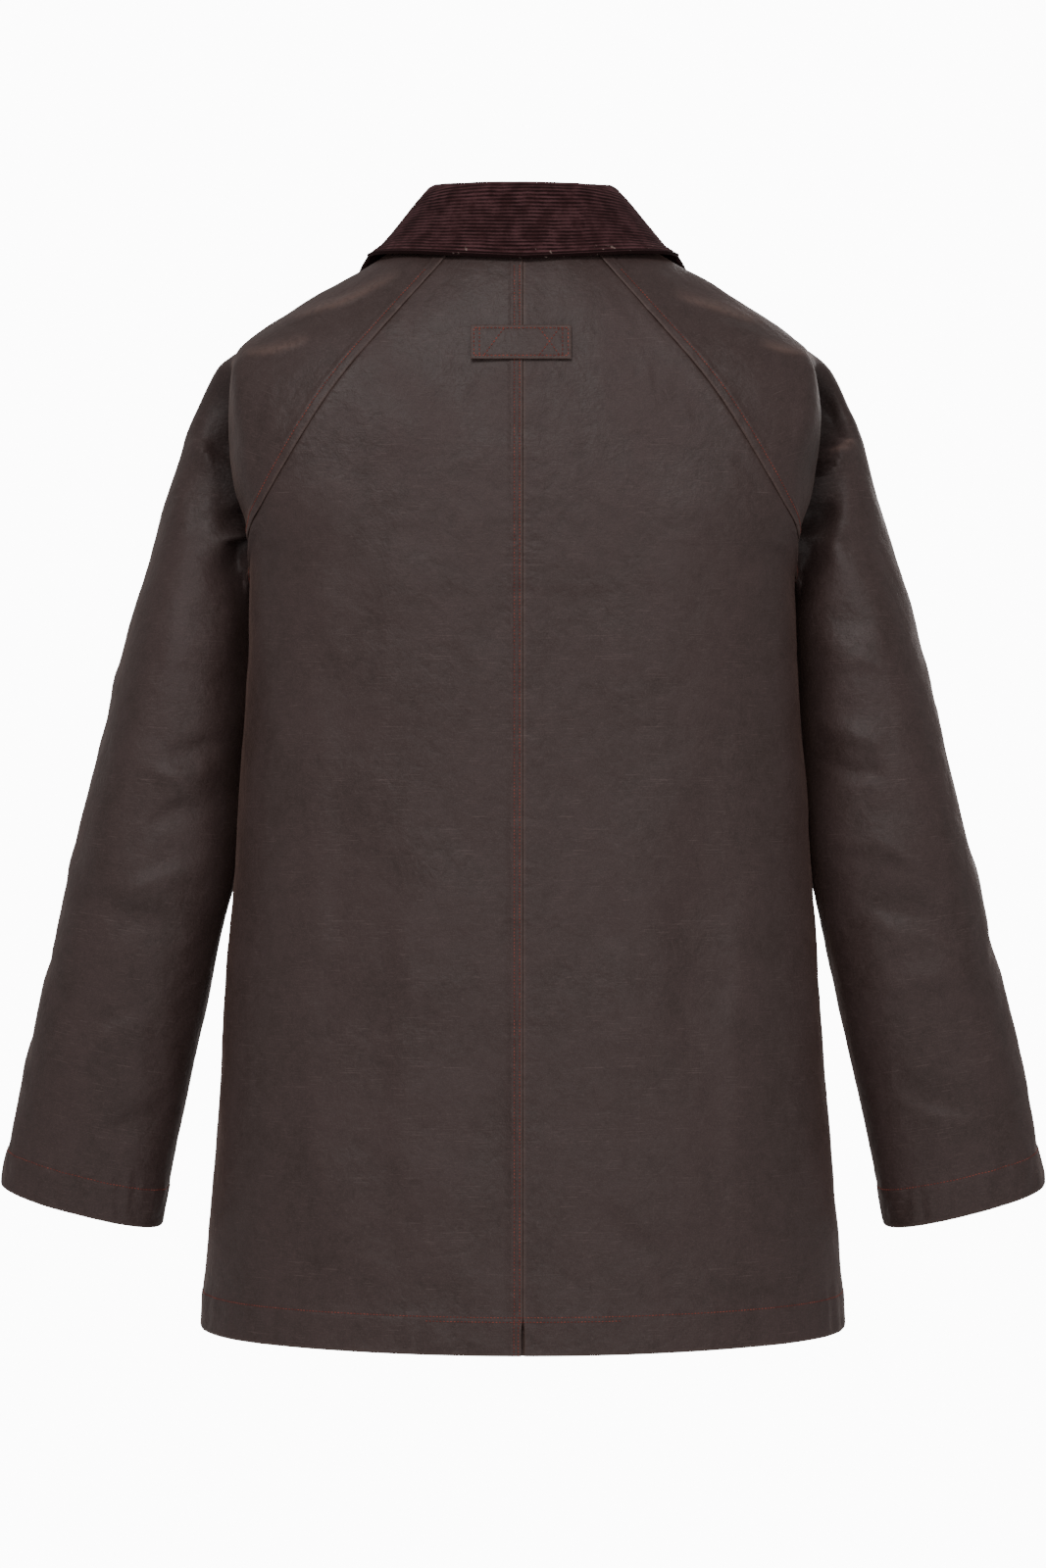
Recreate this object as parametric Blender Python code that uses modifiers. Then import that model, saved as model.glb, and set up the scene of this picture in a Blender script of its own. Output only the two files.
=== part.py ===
"""Waxed cotton jacket with raglan sleeves and a corduroy collar, filled out as if it were worn.

Metres, +Z up. The back faces +Y, the front -Y, and +X is the wearer's left. The origin is in the
middle of the neck opening, where the wearer's neck and shoulders hold the jacket up.

Every panel is an open surface lofted through its own rows, with a Solidify wall on its inner side.
The rows lie on two forms: the body, a rounded oblong at each height, and the hanging sleeve, which
runs out of it. Tables give their sizes in millimetres, one row for each section, from the top down.
"""

import math

import bmesh
import bpy
import numpy as np

MM = 0.001

CLOTH = 1.6 * MM  # wall of the panels
CORDUROY = 2.4 * MM  # collar, two layers
PATCH = 2.0 * MM  # back tab and front fly, two layers
SEAM_PULL = 0.25 * MM  # each panel stops this far short of its seam line
CENTRE_PULL = 0.15 * MM  # the same at the flat seams down the centre back and front
LAY_GAP = 0.35 * MM  # between a panel and what lies on it
COLLAR_GAP = 0.9 * MM  # from the neck seam up to the collar's lower edge

NECK_BACK = -8 * MM  # height of the collar seam at the centre back
HEM_BACK = -777 * MM
HEM_LIFT = 8 * MM  # the hem is this much higher at the side seams
HEM_TURN = 26 * MM
VENT_PULL = 0.8 * MM  # half the opening of the short slit at the foot of the centre back seam
UNDERARM = -250 * MM

PANEL_COLUMNS = 8  # from a centre seam to the raglan or side seam
SLEEVE_COLUMNS = 12  # from the underarm seam to the sleeve's outer edge
BODY_ROWS = 10  # from the underarm down to the top of the hem
SLEEVE_ROWS = 10  # from the underarm down to the cuff
COLLAR_COLUMNS = (4, 9, 3)  # along its front, its side and its back, parted at the raglan seams
FINE = 160  # points along a row before it is spaced out evenly

CUFF_OUTER = -673 * MM  # height of the cuff's edge on its outer side
CUFF_INNER = -702 * MM
CUFF_DROP = 5 * MM  # the cuff's edge is this much lower at the back than at its middle

TAB_LEFT, TAB_RIGHT = 36 * MM, -34 * MM
TAB_TOP, TAB_BOTTOM = -76 * MM, -101 * MM

FLY_HALF_WIDTH = 30 * MM
STUD_RADIUS, STUD_HEIGHT = 7.5 * MM, 2.2 * MM
STUD_FIRST, STUD_LAST, STUD_COUNT = -150 * MM, -700 * MM, 5

WAXED = ("waxed_cotton", (0.055, 0.042, 0.040), 0.5, 0.0)
CORD = ("corduroy", (0.030, 0.014, 0.014), 0.9, 0.0)
BRASS = ("aged_brass", (0.36, 0.24, 0.11), 0.4, 1.0)


def table(columns, *rows):
    """Named columns of a table in millimetres. Columns that end in _power or _turn are plain numbers."""
    values = np.array(rows, float)
    named = {}
    for i, column in enumerate(columns.split()):
        plain = column.endswith(("_power", "_turn"))
        named[column] = values[:, i] * (1 if plain else MM)
    return named


# The body's section at each height: half its width, its depth to the back and to the front, and
# how square its back and front corners are (2 is an ellipse).
BODY = table(
    "height width back front back_power front_power",
    (10, 66, 66, 48, 2.0, 2.0),
    (-8, 79, 72, 54, 2.1, 2.0),
    (-23, 105, 81, 64, 2.2, 2.1),
    (-45, 141, 91, 74, 2.4, 2.3),
    (-62, 168, 97, 81, 2.7, 2.5),
    (-79, 191, 102, 89, 3.2, 2.9),
    (-97, 207, 107, 97, 3.8, 3.4),
    (-130, 208, 113, 110, 4.6, 4.1),
    (-170, 203, 118, 122, 4.8, 4.3),
    (-210, 197, 121, 129, 4.4, 4.0),
    (-250, 190, 122, 132, 3.8, 3.5),
    (-310, 192, 122, 133, 3.3, 3.1),
    (-390, 199, 123, 133, 2.9, 2.9),
    (-460, 203, 125, 134, 2.7, 2.7),
    (-560, 210, 129, 136, 2.6, 2.6),
    (-660, 217.5, 134, 139, 2.5, 2.5),
    (-777, 226.5, 140, 144, 2.35, 2.4),
)

# The left sleeve's form: its outer and inner side, and the depth it reaches to the back and front.
SLEEVE = table(
    "height outer inner back front",
    (-60, 190, 186, 4, -4),
    (-84, 198, 182, 8, -16),
    (-97, 212, 174, 12, -32),
    (-114, 225, 172, 14, -46),
    (-148, 239, 174, 17, -62),
    (-183, 250.5, 177, 22, -74),
    (-217, 261, 182, 31, -84),
    (-241, 268, 190.4, 39, -90),
    (-250, 270.5, 190.9, 41, -92),
    (-262, 274, 194.5, 44, -94),
    (-310, 285.5, 195.5, 50, -96),
    (-390, 305.5, 202.5, 54, -92),
    (-456, 321.5, 207, 50, -86),
    (-528, 338, 219.5, 41, -80),
    (-600, 354.5, 235.5, 30, -76),
    (-673, 370, 251, 14, -76),
    (-703, 377, 256.5, 8, -76),
)
SLEEVE_POWER = 2.3
UNION_BLEND = 8 * MM  # radius of the fold where the sleeve runs out of the body

# The raglan seams from neck to underarm. A turn is the angle round the body from the side to the
# back or front. The ridge is where the same row of the sleeve crosses its outer edge, and centre
# is the point inside the sleeve that the row goes round.
RAGLAN = table(
    "back_turn back_height front_turn front_height front_edge ridge centre",
    (59, -8, 47, -34, -70, -8, 30),
    (55, -26.5, 46, -50, -84, -23, 45),
    (49, -55, 44, -72, -98, -39, 65),
    (45.5, -78, 43, -94, -113, -54, 90),
    (42.4, -100, 41.5, -114, -128, -68, 115),
    (39.5, -122, 40, -134, -144, -81, 140),
    (37, -144, 38, -154, -161, -97, 160),
    (34, -169, 35, -176, -180, -128, 175),
    (29, -197, 29.5, -200, -202, -165, 183),
    (24, -212, 24, -213, -214, -197, 186),
    (17, -228, 17, -228, -228, -222, 188),
    (8.5, -243, 8.5, -243, -243, -241, 200),
    (0, -250, 0, -250, -250, -250, 229),
)

# The collar at each turn round the neck, from the front end to the centre back: how far its fold
# rises above the neck seam and stands out from it, and where the fall's edge lies on the body.
COLLAR = table(
    "neck_turn rise out edge_turn edge_height lift",
    (-88, 9, 2, -70, -122, 3.4),
    (-72, 15, 1, -58, -106, 2.4),
    (-47, 27, -1, -44, -72, 1),
    (-22, 34, -10, -22, -43, 1),
    (0, 36, -15, 0, -24, 1),
    (32, 34, -8, 32, -26, 1),
    (60, 31, 1, 60, -29, 1),
    (90, 30, 4, 90, -31, 1),
)
FOLD_RADIUS = 4.5 * MM


def slopes(x, y):
    """Tangents of a smooth curve through points that never overshoots them."""
    steps = np.diff(y) / np.diff(x)
    before, after = steps[:-1], steps[1:]
    total = np.where(before + after == 0, 1, before + after)
    inner = np.where(before * after > 0, 2 * before * after / total, 0)
    return np.concatenate([steps[:1], inner, steps[-1:]])


def smooth(x, y, at):
    """The value at some x of the smooth curve through a table's column, where x rises."""
    tangent = slopes(x, y)
    at = np.clip(at, x[0], x[-1])
    i = np.clip(np.searchsorted(x, at, side="right") - 1, 0, len(x) - 2)
    step = x[i + 1] - x[i]
    t = (at - x[i]) / step
    lower = (1 + 2 * t) * (1 - t) ** 2 * y[i] + t * (1 - t) ** 2 * step * tangent[i]
    upper = t * t * (3 - 2 * t) * y[i + 1] + t * t * (t - 1) * step * tangent[i + 1]
    return lower + upper


def at_height(form, column, height):
    return smooth(form["height"][::-1], form[column][::-1], height)


def body_width(height):
    return at_height(BODY, "width", height)


def body_depth(height, to_back):
    depth = np.where(to_back, at_height(BODY, "back", height), at_height(BODY, "front", height))
    power = np.where(to_back, at_height(BODY, "back_power", height), at_height(BODY, "front_power", height))
    return depth, power


def body_gauge(x, y, height):
    """Below 1 inside the body's form, 1 on it and above 1 outside."""
    depth, power = body_depth(height, y > 0)
    return ((np.abs(x) / body_width(height)) ** power + (np.abs(y) / depth) ** power) ** (1 / power)


def body_point(turn, height):
    """The point of the body's form at an angle round it: 0 is its left side, pi / 2 its back."""
    x, y = np.cos(turn), np.sin(turn)
    radius = 1 / body_gauge(x, y, height)
    return np.stack([x * radius, y * radius, height + 0 * radius], axis=-1)


def body_normal(point):
    """The outward direction of the body's form."""
    step = 0.5 * MM
    slope = [
        body_gauge(*(point + step * axis).T) - body_gauge(*(point - step * axis).T)
        for axis in np.eye(3)
    ]
    slope = np.array(slope).T
    return slope / np.linalg.norm(slope, axis=-1, keepdims=True)


def body_at(x, height, side):
    """The point of the back (side 1) or the front (side -1) straight behind some x and height."""
    depth, power = body_depth(height, side > 0)
    y = side * depth * (1 - (np.abs(x) / body_width(height)) ** power) ** (1 / power)
    return np.stack([x + 0 * y, y, height + 0 * y], axis=-1)


def sleeve_gauge(x, y, height):
    outer, inner = at_height(SLEEVE, "outer", height), at_height(SLEEVE, "inner", height)
    back, front = at_height(SLEEVE, "back", height), at_height(SLEEVE, "front", height)
    across = np.abs(x - (outer + inner) / 2) / ((outer - inner) / 2)
    along = np.abs(y - (back + front) / 2) / ((back - front) / 2)
    return (across**SLEEVE_POWER + along**SLEEVE_POWER) ** (1 / SLEEVE_POWER)


def jacket_distance(x, y, height, with_body):
    """Below 0 inside the sleeve, or inside the sleeve and the body blended along a soft fold."""
    width = at_height(SLEEVE, "outer", height) - at_height(SLEEVE, "inner", height)
    sleeve = (sleeve_gauge(x, y, height) - 1) * width / 2
    if not with_body:
        return sleeve
    body = (body_gauge(x, y, height) - 1) * body_width(height) * 0.7
    blend = np.clip(1 - np.abs(sleeve - body) / (2 * UNION_BLEND), 0, 1)
    return np.minimum(sleeve, body) - blend**2 * UNION_BLEND / 2


def ray_out(centre, angle, height, with_body):
    """Where level rays from a point inside the sleeve come out of the cloth's form."""
    near = np.zeros_like(angle)
    far = np.full_like(angle, 0.4)
    for _ in range(30):
        middle = (near + far) / 2
        x, y = centre[0] + middle * np.cos(angle), centre[1] + middle * np.sin(angle)
        inside = jacket_distance(x, y, height, with_body) < 0
        near, far = np.where(inside, middle, near), np.where(inside, far, middle)
    x, y = centre[0] + near * np.cos(angle), centre[1] + near * np.sin(angle)
    return np.stack([x, y, height + 0 * x], axis=-1)


def spaced(points, cells):
    """The same line through cells + 1 points, evenly apart."""
    steps = np.linalg.norm(np.diff(points, axis=0), axis=1)
    along = np.concatenate([[0], np.cumsum(steps)])
    wanted = np.linspace(0, along[-1], cells + 1)
    return np.stack([np.interp(wanted, along, points[:, k]) for k in range(3)], axis=-1)


def panel_row(centre_turn, centre_height, seam_turn, seam_height):
    """One row of a back or front panel, from the centre seam to the raglan or side seam."""
    share = np.linspace(0, 1, FINE)
    turn = centre_turn + (seam_turn - centre_turn) * share
    height = centre_height + (seam_height - centre_height) * share**2
    return spaced(body_point(turn, height), PANEL_COLUMNS)


def panel_rows(side):
    """All rows of the left back (side 1) or left front (side -1) panel, neck to hem."""
    name = "back" if side > 0 else "front"
    edge = RAGLAN["back_height" if side > 0 else "front_edge"]
    rows = []
    for i, turn in enumerate(RAGLAN[name + "_turn"]):
        seam_turn = side * math.radians(turn)
        rows.append(panel_row(side * math.pi / 2, edge[i], seam_turn, RAGLAN[name + "_height"][i]))
    levels = np.linspace(UNDERARM, HEM_BACK + HEM_TURN, BODY_ROWS + 1)[1:]
    for level in [*levels, HEM_BACK]:
        lift = HEM_LIFT * ((level - UNDERARM) / (HEM_BACK - UNDERARM)) ** 3
        rows.append(panel_row(side * math.pi / 2, level, 0, level + lift))
    return np.array(rows)


def arch_row(i):
    """One row of the sleeve from the back raglan seam, over its outer edge, to the front seam."""
    centre = np.array([RAGLAN["centre"][i], 0])
    with_body = centre[0] < body_width(RAGLAN["back_height"][i])
    if not with_body:
        centre[1] = (at_height(SLEEVE, "back", UNDERARM) + at_height(SLEEVE, "front", UNDERARM)) / 2
    halves = []
    for side, name in ((1, "back"), (-1, "front")):
        seam_height = RAGLAN[name + "_height"][i]
        seam = body_point(side * math.radians(RAGLAN[name + "_turn"][i]), seam_height)
        seam_angle = side * abs(math.atan2(seam[1] - centre[1], seam[0] - centre[0]))
        share = np.linspace(0, 1, FINE)
        height = RAGLAN["ridge"][i] + (seam_height - RAGLAN["ridge"][i]) * share**2
        half = ray_out(centre, seam_angle * share, height, with_body)
        half[-1] = seam
        halves.append(spaced(half, SLEEVE_COLUMNS))
    return np.concatenate([halves[0][::-1], halves[1][1:]])


def ring_row(share):
    """One closed row of the hanging sleeve, cut square to it, starting and ending at its seam."""
    outer_height = UNDERARM + (CUFF_OUTER - UNDERARM) * share
    inner_height = UNDERARM + (CUFF_INNER - UNDERARM) * share
    outer, inner = at_height(SLEEVE, "outer", outer_height), at_height(SLEEVE, "inner", inner_height)
    middle = (outer_height + inner_height) / 2
    back, front = at_height(SLEEVE, "back", middle), at_height(SLEEVE, "front", middle)
    seam_turn = math.asin((-(back + front) / (back - front)) ** (SLEEVE_POWER / 2)) * (1 - share)
    halves = []
    for side in (1, -1):
        angle = np.linspace(0, side * math.pi - seam_turn, FINE)
        across = np.sign(np.cos(angle)) * np.abs(np.cos(angle)) ** (2 / SLEEVE_POWER)
        along = np.sign(np.sin(angle)) * np.abs(np.sin(angle)) ** (2 / SLEEVE_POWER)
        x = (outer + inner) / 2 + (outer - inner) / 2 * across
        y = (back + front) / 2 + (back - front) / 2 * along
        height = middle + (outer_height - inner_height) / 2 * across - CUFF_DROP * share**2 * along
        halves.append(spaced(np.stack([x, y, height], axis=-1), SLEEVE_COLUMNS))
    return np.concatenate([halves[0][::-1], halves[1][1:]])


def pull_edge(rows, edge, inward, pull):
    """Moves an edge of a panel away from its seam line, along the cloth."""
    along = np.gradient(edge, axis=0)
    away = inward - edge
    along /= np.linalg.norm(along, axis=-1, keepdims=True)
    away = away - (away * along).sum(axis=-1, keepdims=True) * along
    away /= np.linalg.norm(away, axis=-1, keepdims=True)
    rows[...] = edge + away * np.reshape(pull, (-1, 1))


def grid_faces(index):
    """Quads of a grid of vertex numbers."""
    corners = index[:-1, :-1], index[1:, :-1], index[1:, 1:], index[:-1, 1:]
    return np.stack(corners, axis=-1).reshape(-1, 4).tolist()


def make_material(name, colour, roughness, metallic):
    material = bpy.data.materials.get(name) or bpy.data.materials.new(name)
    material.use_nodes = True
    shader = material.node_tree.nodes["Principled BSDF"]
    shader.inputs["Base Color"].default_value = (*colour, 1)
    shader.inputs["Roughness"].default_value = roughness
    shader.inputs["Metallic"].default_value = metallic
    return material


def add_object(name, mesh, finish, collection):
    mesh.materials.append(make_material(*finish))
    mesh.shade_smooth()
    mesh.set_sharp_from_angle(angle=math.radians(40))
    obj = bpy.data.objects.new(name, mesh)
    collection.objects.link(obj)
    return obj


def add_sheet(name, points, index, wall, finish, collection):
    """An open surface through a grid of points, facing out, with its wall on the inner side."""
    mesh = bpy.data.meshes.new(name)
    mesh.from_pydata(points.reshape(-1, 3).tolist(), [], grid_faces(index))
    build = bmesh.new()
    build.from_mesh(mesh)
    loose = [vertex for vertex in build.verts if not vertex.link_faces]
    bmesh.ops.delete(build, geom=loose, context="VERTS")
    build.to_mesh(mesh)
    build.free()
    obj = add_object(name, mesh, finish, collection)
    solidify = obj.modifiers.new("wall", "SOLIDIFY")
    solidify.thickness = wall
    solidify.offset = -1
    return obj


def add_pair(name, points, index, wall, finish, collection):
    """A left piece and its mirror image on the right."""
    add_sheet(name + "_left", points, index, wall, finish, collection)
    add_sheet(name + "_right", points * (-1, 1, 1), index[:, ::-1], wall, finish, collection)


def plain_index(points):
    return np.arange(points.shape[0] * points.shape[1]).reshape(points.shape[:2])


def add_panels(collection):
    """The backs and the fronts."""
    for name, side in (("back", 1), ("front", -1)):
        rows = panel_rows(side)
        pull = np.full(len(rows), CENTRE_PULL)
        if side > 0:
            pull[-2:] = VENT_PULL
        pull_edge(rows[:, 0], rows[:, 0].copy(), rows[:, 1], pull)
        pull_edge(rows[:, -1], rows[:, -1].copy(), rows[:, -2], np.full(len(rows), SEAM_PULL))
        index = plain_index(rows)[:, ::-1] if side > 0 else plain_index(rows)
        add_pair(name, rows, index, CLOTH, WAXED, collection)


def add_sleeves(collection):
    """Raglan sleeves: open rows from neck to underarm, then closed rings down to the cuff."""
    arches = [arch_row(i) for i in range(len(RAGLAN["ridge"]) - 1)]
    rings = [ring_row(share) for share in np.linspace(0, 1, SLEEVE_ROWS + 1)]
    rows = np.array(arches + rings)
    seam = slice(0, len(arches))
    pull = np.full(len(arches), SEAM_PULL)
    pull_edge(rows[seam, 0], rows[seam, 0].copy(), rows[seam, 1], pull)
    pull_edge(rows[seam, -1], rows[seam, -1].copy(), rows[seam, -2], pull)
    rows[len(arches), (0, -1)] = body_point(0, UNDERARM) + (SEAM_PULL, 0, 0)
    index = plain_index(rows)
    index[len(arches) :, -1] = index[len(arches) :, 0]
    add_pair("sleeve", rows, index[:, ::-1], CLOTH, WAXED, collection)


def neck_point(turn):
    """A point of the neck seam, on the top edges of the front, the sleeve and the back."""
    seam = np.concatenate([panel_rows(-1)[0], arch_row(0)[::-1], panel_rows(1)[0][::-1]])
    return body_point(turn, np.interp(turn, np.arctan2(seam[:, 1], seam[:, 0]), seam[:, 2]))


def collar_section(turn):
    """The collar's visible side at one place: up inside the neck, over the fold, down the fall."""
    column = {key: smooth(COLLAR["neck_turn"], values, turn) for key, values in COLLAR.items()}
    neck = math.radians(turn)
    seam = neck_point(neck) + (0, 0, COLLAR_GAP)
    out = np.array([math.cos(neck), math.sin(neck), 0])
    fold = seam + out * column["out"] + (0, 0, column["rise"])
    edge = body_point(math.radians(column["edge_turn"]), column["edge_height"])
    edge = edge + body_normal(edge[None])[0] * (CORDUROY + column["lift"])
    inner_top = fold - out * FOLD_RADIUS - (0, 0, FOLD_RADIUS)
    outer_top = fold + out * FOLD_RADIUS - (0, 0, FOLD_RADIUS)
    fall = [outer_top + (edge - outer_top) * share for share in (0.33, 0.66, 1)]
    return [seam, (seam + inner_top) / 2, inner_top, fold, outer_top, *fall]


def add_collar(collection):
    ends = (COLLAR["neck_turn"][0], -RAGLAN["front_turn"][0], RAGLAN["back_turn"][0], 90)
    turns = [ends[0]]
    for start, end, columns in zip(ends, ends[1:], COLLAR_COLUMNS):
        turns.extend(np.linspace(start, end, columns + 1)[1:])
    rows = np.array([collar_section(turn) for turn in turns])
    rows[-1, :, 0] = 0
    obj = add_sheet("collar", rows, plain_index(rows), CORDUROY, CORD, collection)
    mirror = obj.modifiers.new("right half", "MIRROR")
    mirror.merge_threshold = 0.0001
    obj.modifiers.move(1, 0)


def add_patch(name, xs, heights, side, collection):
    """A double layer of cloth sewn flat on the back (side 1) or the front (side -1)."""
    across, down = np.meshgrid(xs, heights)
    rows = body_at(across, down, side)
    out = body_normal(rows.reshape(-1, 3)).reshape(rows.shape)
    rows = rows + out * (LAY_GAP + PATCH)
    index = plain_index(rows) if side > 0 else plain_index(rows)[:, ::-1]
    add_sheet(name, rows, index, PATCH, WAXED, collection)


def add_studs(collection):
    """Snap studs down the front fly, each flat on its face and set square to the cloth."""
    for number, height in enumerate(np.linspace(STUD_FIRST, STUD_LAST, STUD_COUNT), 1):
        bpy.ops.mesh.primitive_cylinder_add(vertices=20, radius=STUD_RADIUS, depth=STUD_HEIGHT)
        stud = bpy.context.object
        stud.name = f"front_stud_{number}"
        stud.data.materials.append(make_material(*BRASS))
        for other in stud.users_collection:
            other.objects.unlink(stud)
        collection.objects.link(stud)
        seat = body_at(0, height, -1)
        out = body_normal(seat[None])[0]
        rise = 2 * LAY_GAP + PATCH + STUD_HEIGHT / 2
        stud.location = seat + out * rise
        stud.rotation_euler = (math.atan2(-out[1], out[2]), 0, 0)
        bevel = stud.modifiers.new("rim", "BEVEL")
        bevel.width = 0.6 * MM
        bevel.segments = 2


def main():
    for obj in list(bpy.data.objects):
        bpy.data.objects.remove(obj)
    collection = bpy.data.collections.new("waxed_jacket")
    bpy.context.scene.collection.children.link(collection)
    add_panels(collection)
    add_sleeves(collection)
    add_collar(collection)
    add_patch("back_tab", np.linspace(TAB_LEFT, TAB_RIGHT, 7), np.linspace(TAB_TOP, TAB_BOTTOM, 4), 1, collection)
    fly = np.linspace(FLY_HALF_WIDTH, -FLY_HALF_WIDTH, 5)
    add_patch("front_fly", fly, panel_rows(-1)[1:, 0, 2], -1, collection)
    add_studs(collection)


main()
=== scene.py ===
"""Waxed cotton jacket with a corduroy collar: its cloth, creases, seams, stitches and studs.

Metres, +Z up. The back faces +Y, the front -Y, and +X is the wearer's left. Each cloth piece is a
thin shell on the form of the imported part: the same tables give its rows, which are then drawn on a
fine grid, folded along the lines of CREASES and given their seams, turns and puckers.
"""

import math

import bpy
import numpy as np
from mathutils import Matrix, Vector, noise


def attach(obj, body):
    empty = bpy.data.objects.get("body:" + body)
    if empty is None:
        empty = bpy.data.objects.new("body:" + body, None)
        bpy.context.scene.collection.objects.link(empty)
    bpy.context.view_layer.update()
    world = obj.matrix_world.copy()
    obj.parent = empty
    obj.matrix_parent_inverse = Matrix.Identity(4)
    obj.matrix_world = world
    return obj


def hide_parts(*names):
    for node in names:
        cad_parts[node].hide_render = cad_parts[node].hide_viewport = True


bl_info = {
    "name": "Waxed Cotton Jacket",
    "version": (1, 0, 0),
    "blender": (4, 5, 0),
    "location": "View3D > Sidebar > Jacket",
    "description": "Adds a waxed cotton jacket with a corduroy collar round its packed part",
    "category": "Add Mesh",
}

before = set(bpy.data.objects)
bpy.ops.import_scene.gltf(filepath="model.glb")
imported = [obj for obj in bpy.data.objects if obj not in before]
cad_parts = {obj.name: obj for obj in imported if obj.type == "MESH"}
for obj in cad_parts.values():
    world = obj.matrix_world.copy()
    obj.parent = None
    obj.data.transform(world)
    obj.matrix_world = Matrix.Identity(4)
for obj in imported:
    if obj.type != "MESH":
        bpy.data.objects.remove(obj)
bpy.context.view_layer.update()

MM = 0.001

SEAM_PULL = 0.25 * MM  # each piece stops this far short of its seam line
CENTRE_PULL = 0.15 * MM  # the same at the centre seams and under the arm
LAY_GAP = 0.35 * MM  # between a panel and what lies on it
COLLAR_GAP = 0.9 * MM
CORDUROY = 2.4 * MM
PATCH = 2.0 * MM

HEM_BACK = -777 * MM
HEM_LIFT = 8 * MM  # the hem is this much higher at the side seams
HEM_TURN = 26 * MM
CUFF_TURN = 26 * MM
UNDERLAP = 8 * MM  # how far the right back panel reaches under the left one
UNDERARM = -250 * MM
BODY_ROWS = 10  # rows of the form from the underarm down to the top of the hem
SLEEVE_ROWS = 10  # rows of the form from the underarm down to the cuff
FINE = 400  # points along a row of the form

CUFF_OUTER = -673 * MM
CUFF_INNER = -702 * MM
CUFF_DROP = 5 * MM

TAB_LEFT, TAB_RIGHT = 35.7 * MM, -33 * MM
TAB_TOP, TAB_BOTTOM = -77 * MM, -100.5 * MM
FLY_HALF_WIDTH, FLY_BORDER = 30 * MM, 6 * MM
STUD_COUNT = 5

SEAM_ROWS = (2.3 * MM, 5.9 * MM)  # the two stitch rows beside the centre back seam
RAGLAN_ROW = 6.4 * MM  # from the raglan seam to its stitch row
HEM_SECOND = 3 * MM  # from the hem's stitches to a second row below them
HEM_SECOND_END = 70 * MM  # how far from the centre back the second row ends
LAP = 0.9 * MM  # how far a lapped edge stands above its neighbour

# Distances from an edge at which a grid has its closest lines, to carry the laps and stitch rows.
NEAR = np.array((0, 0.5, 1.1, 1.7, 2.3, 2.9, 3.7, 4.5, 5.2, 5.9, 6.6, 7.5, 8.6, 10)) * MM

THREAD = 0.74 * MM  # thickness of the sewing thread
TAB_BORDER = 2.2 * MM  # from the tab's edge to its stitches
TAB_INNER = 6 * MM  # from its short edges to the second row across them

EDGE_REACH = 10 * MM  # how far from an edge the cloth can be rubbed

COLLAR_COLUMNS = 100  # along half of the collar
SLIT = 26 * MM  # length of the slit at the bottom of the centre back seam
TUCK = 15 * MM  # how far the cloth turns in under the fold behind each arm
FOLD_RADIUS = 4.5 * MM  # of the collar's fold
RIB = 2.6 * MM  # from one rib of the corduroy to the next
RIB_HEIGHT = 0.3 * MM
RIB_SAMPLES = 5  # grid lines across a rib
FALL_RIBS = 20
INNER_SAMPLES = 60

FLOOR, FLOOR_RADIUS = -1.4, 1.9
SKY_LIGHT, SKY_SHOWN = 0.36, 12.0  # the white backdrop's strength as a light and as it shows
CAMERA = (0, 3.5, -0.39)
VIEW_HEIGHT = 1.104  # height of the view at the jacket
# The name, place, aim, size and power in watts of each light.
LIGHTS = (
    ("key", (0.5, 3.0, 1.8), (0, 0, -0.35), 1.4, 51),
    ("fill", (-1.2, 3.3, -0.2), (0, 0, -0.4), 1.8, 12),
    ("front", (-0.9, -3.2, 0.3), (0, 0, -0.4), 1.8, 22),
)


def table(columns, *rows):
    """Named columns in millimetres. Columns that end in _power or _turn are plain numbers."""
    values = np.array(rows, float)
    named = {}
    for i, column in enumerate(columns.split()):
        plain = column.endswith(("_power", "_turn"))
        named[column] = values[:, i] * (1 if plain else MM)
    return named


# The body's section at each height: half its width, its depth to the back and to the front, and
# how square its back and front corners are (2 is an ellipse).
BODY = table(
    "height width back front back_power front_power",
    (10, 66, 66, 48, 2.0, 2.0),
    (-8, 79, 72, 54, 2.1, 2.0),
    (-23, 105, 81, 64, 2.2, 2.1),
    (-45, 141, 91, 74, 2.4, 2.3),
    (-62, 168, 97, 81, 2.7, 2.5),
    (-79, 191, 102, 89, 3.2, 2.9),
    (-97, 207, 107, 97, 3.8, 3.4),
    (-130, 208, 113, 110, 4.6, 4.1),
    (-170, 203, 118, 122, 4.8, 4.3),
    (-210, 197, 121, 129, 4.4, 4.0),
    (-250, 190, 122, 132, 3.8, 3.5),
    (-310, 192, 122, 133, 3.3, 3.1),
    (-390, 199, 123, 133, 2.9, 2.9),
    (-460, 203, 125, 134, 2.7, 2.7),
    (-560, 210, 129, 136, 2.6, 2.6),
    (-660, 217.5, 134, 139, 2.5, 2.5),
    (-777, 226.5, 140, 144, 2.35, 2.4),
)

# The left sleeve's form: its outer and inner side, and the depth it reaches to the back and front.
SLEEVE = table(
    "height outer inner back front",
    (-60, 190, 186, 4, -4),
    (-84, 198, 182, 8, -16),
    (-97, 212, 174, 12, -32),
    (-114, 225, 172, 14, -46),
    (-148, 239, 174, 17, -62),
    (-183, 250.5, 177, 22, -74),
    (-217, 261, 182, 31, -84),
    (-241, 268, 190.4, 39, -90),
    (-250, 270.5, 190.9, 41, -92),
    (-262, 274, 194.5, 44, -94),
    (-310, 285.5, 195.5, 50, -96),
    (-390, 305.5, 202.5, 54, -92),
    (-456, 321.5, 207, 50, -86),
    (-528, 338, 219.5, 41, -80),
    (-600, 354.5, 235.5, 30, -76),
    (-673, 370, 251, 14, -76),
    (-703, 377, 256.5, 8, -76),
)
SLEEVE_POWER = 2.3  # how square the sleeve's section is
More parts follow.
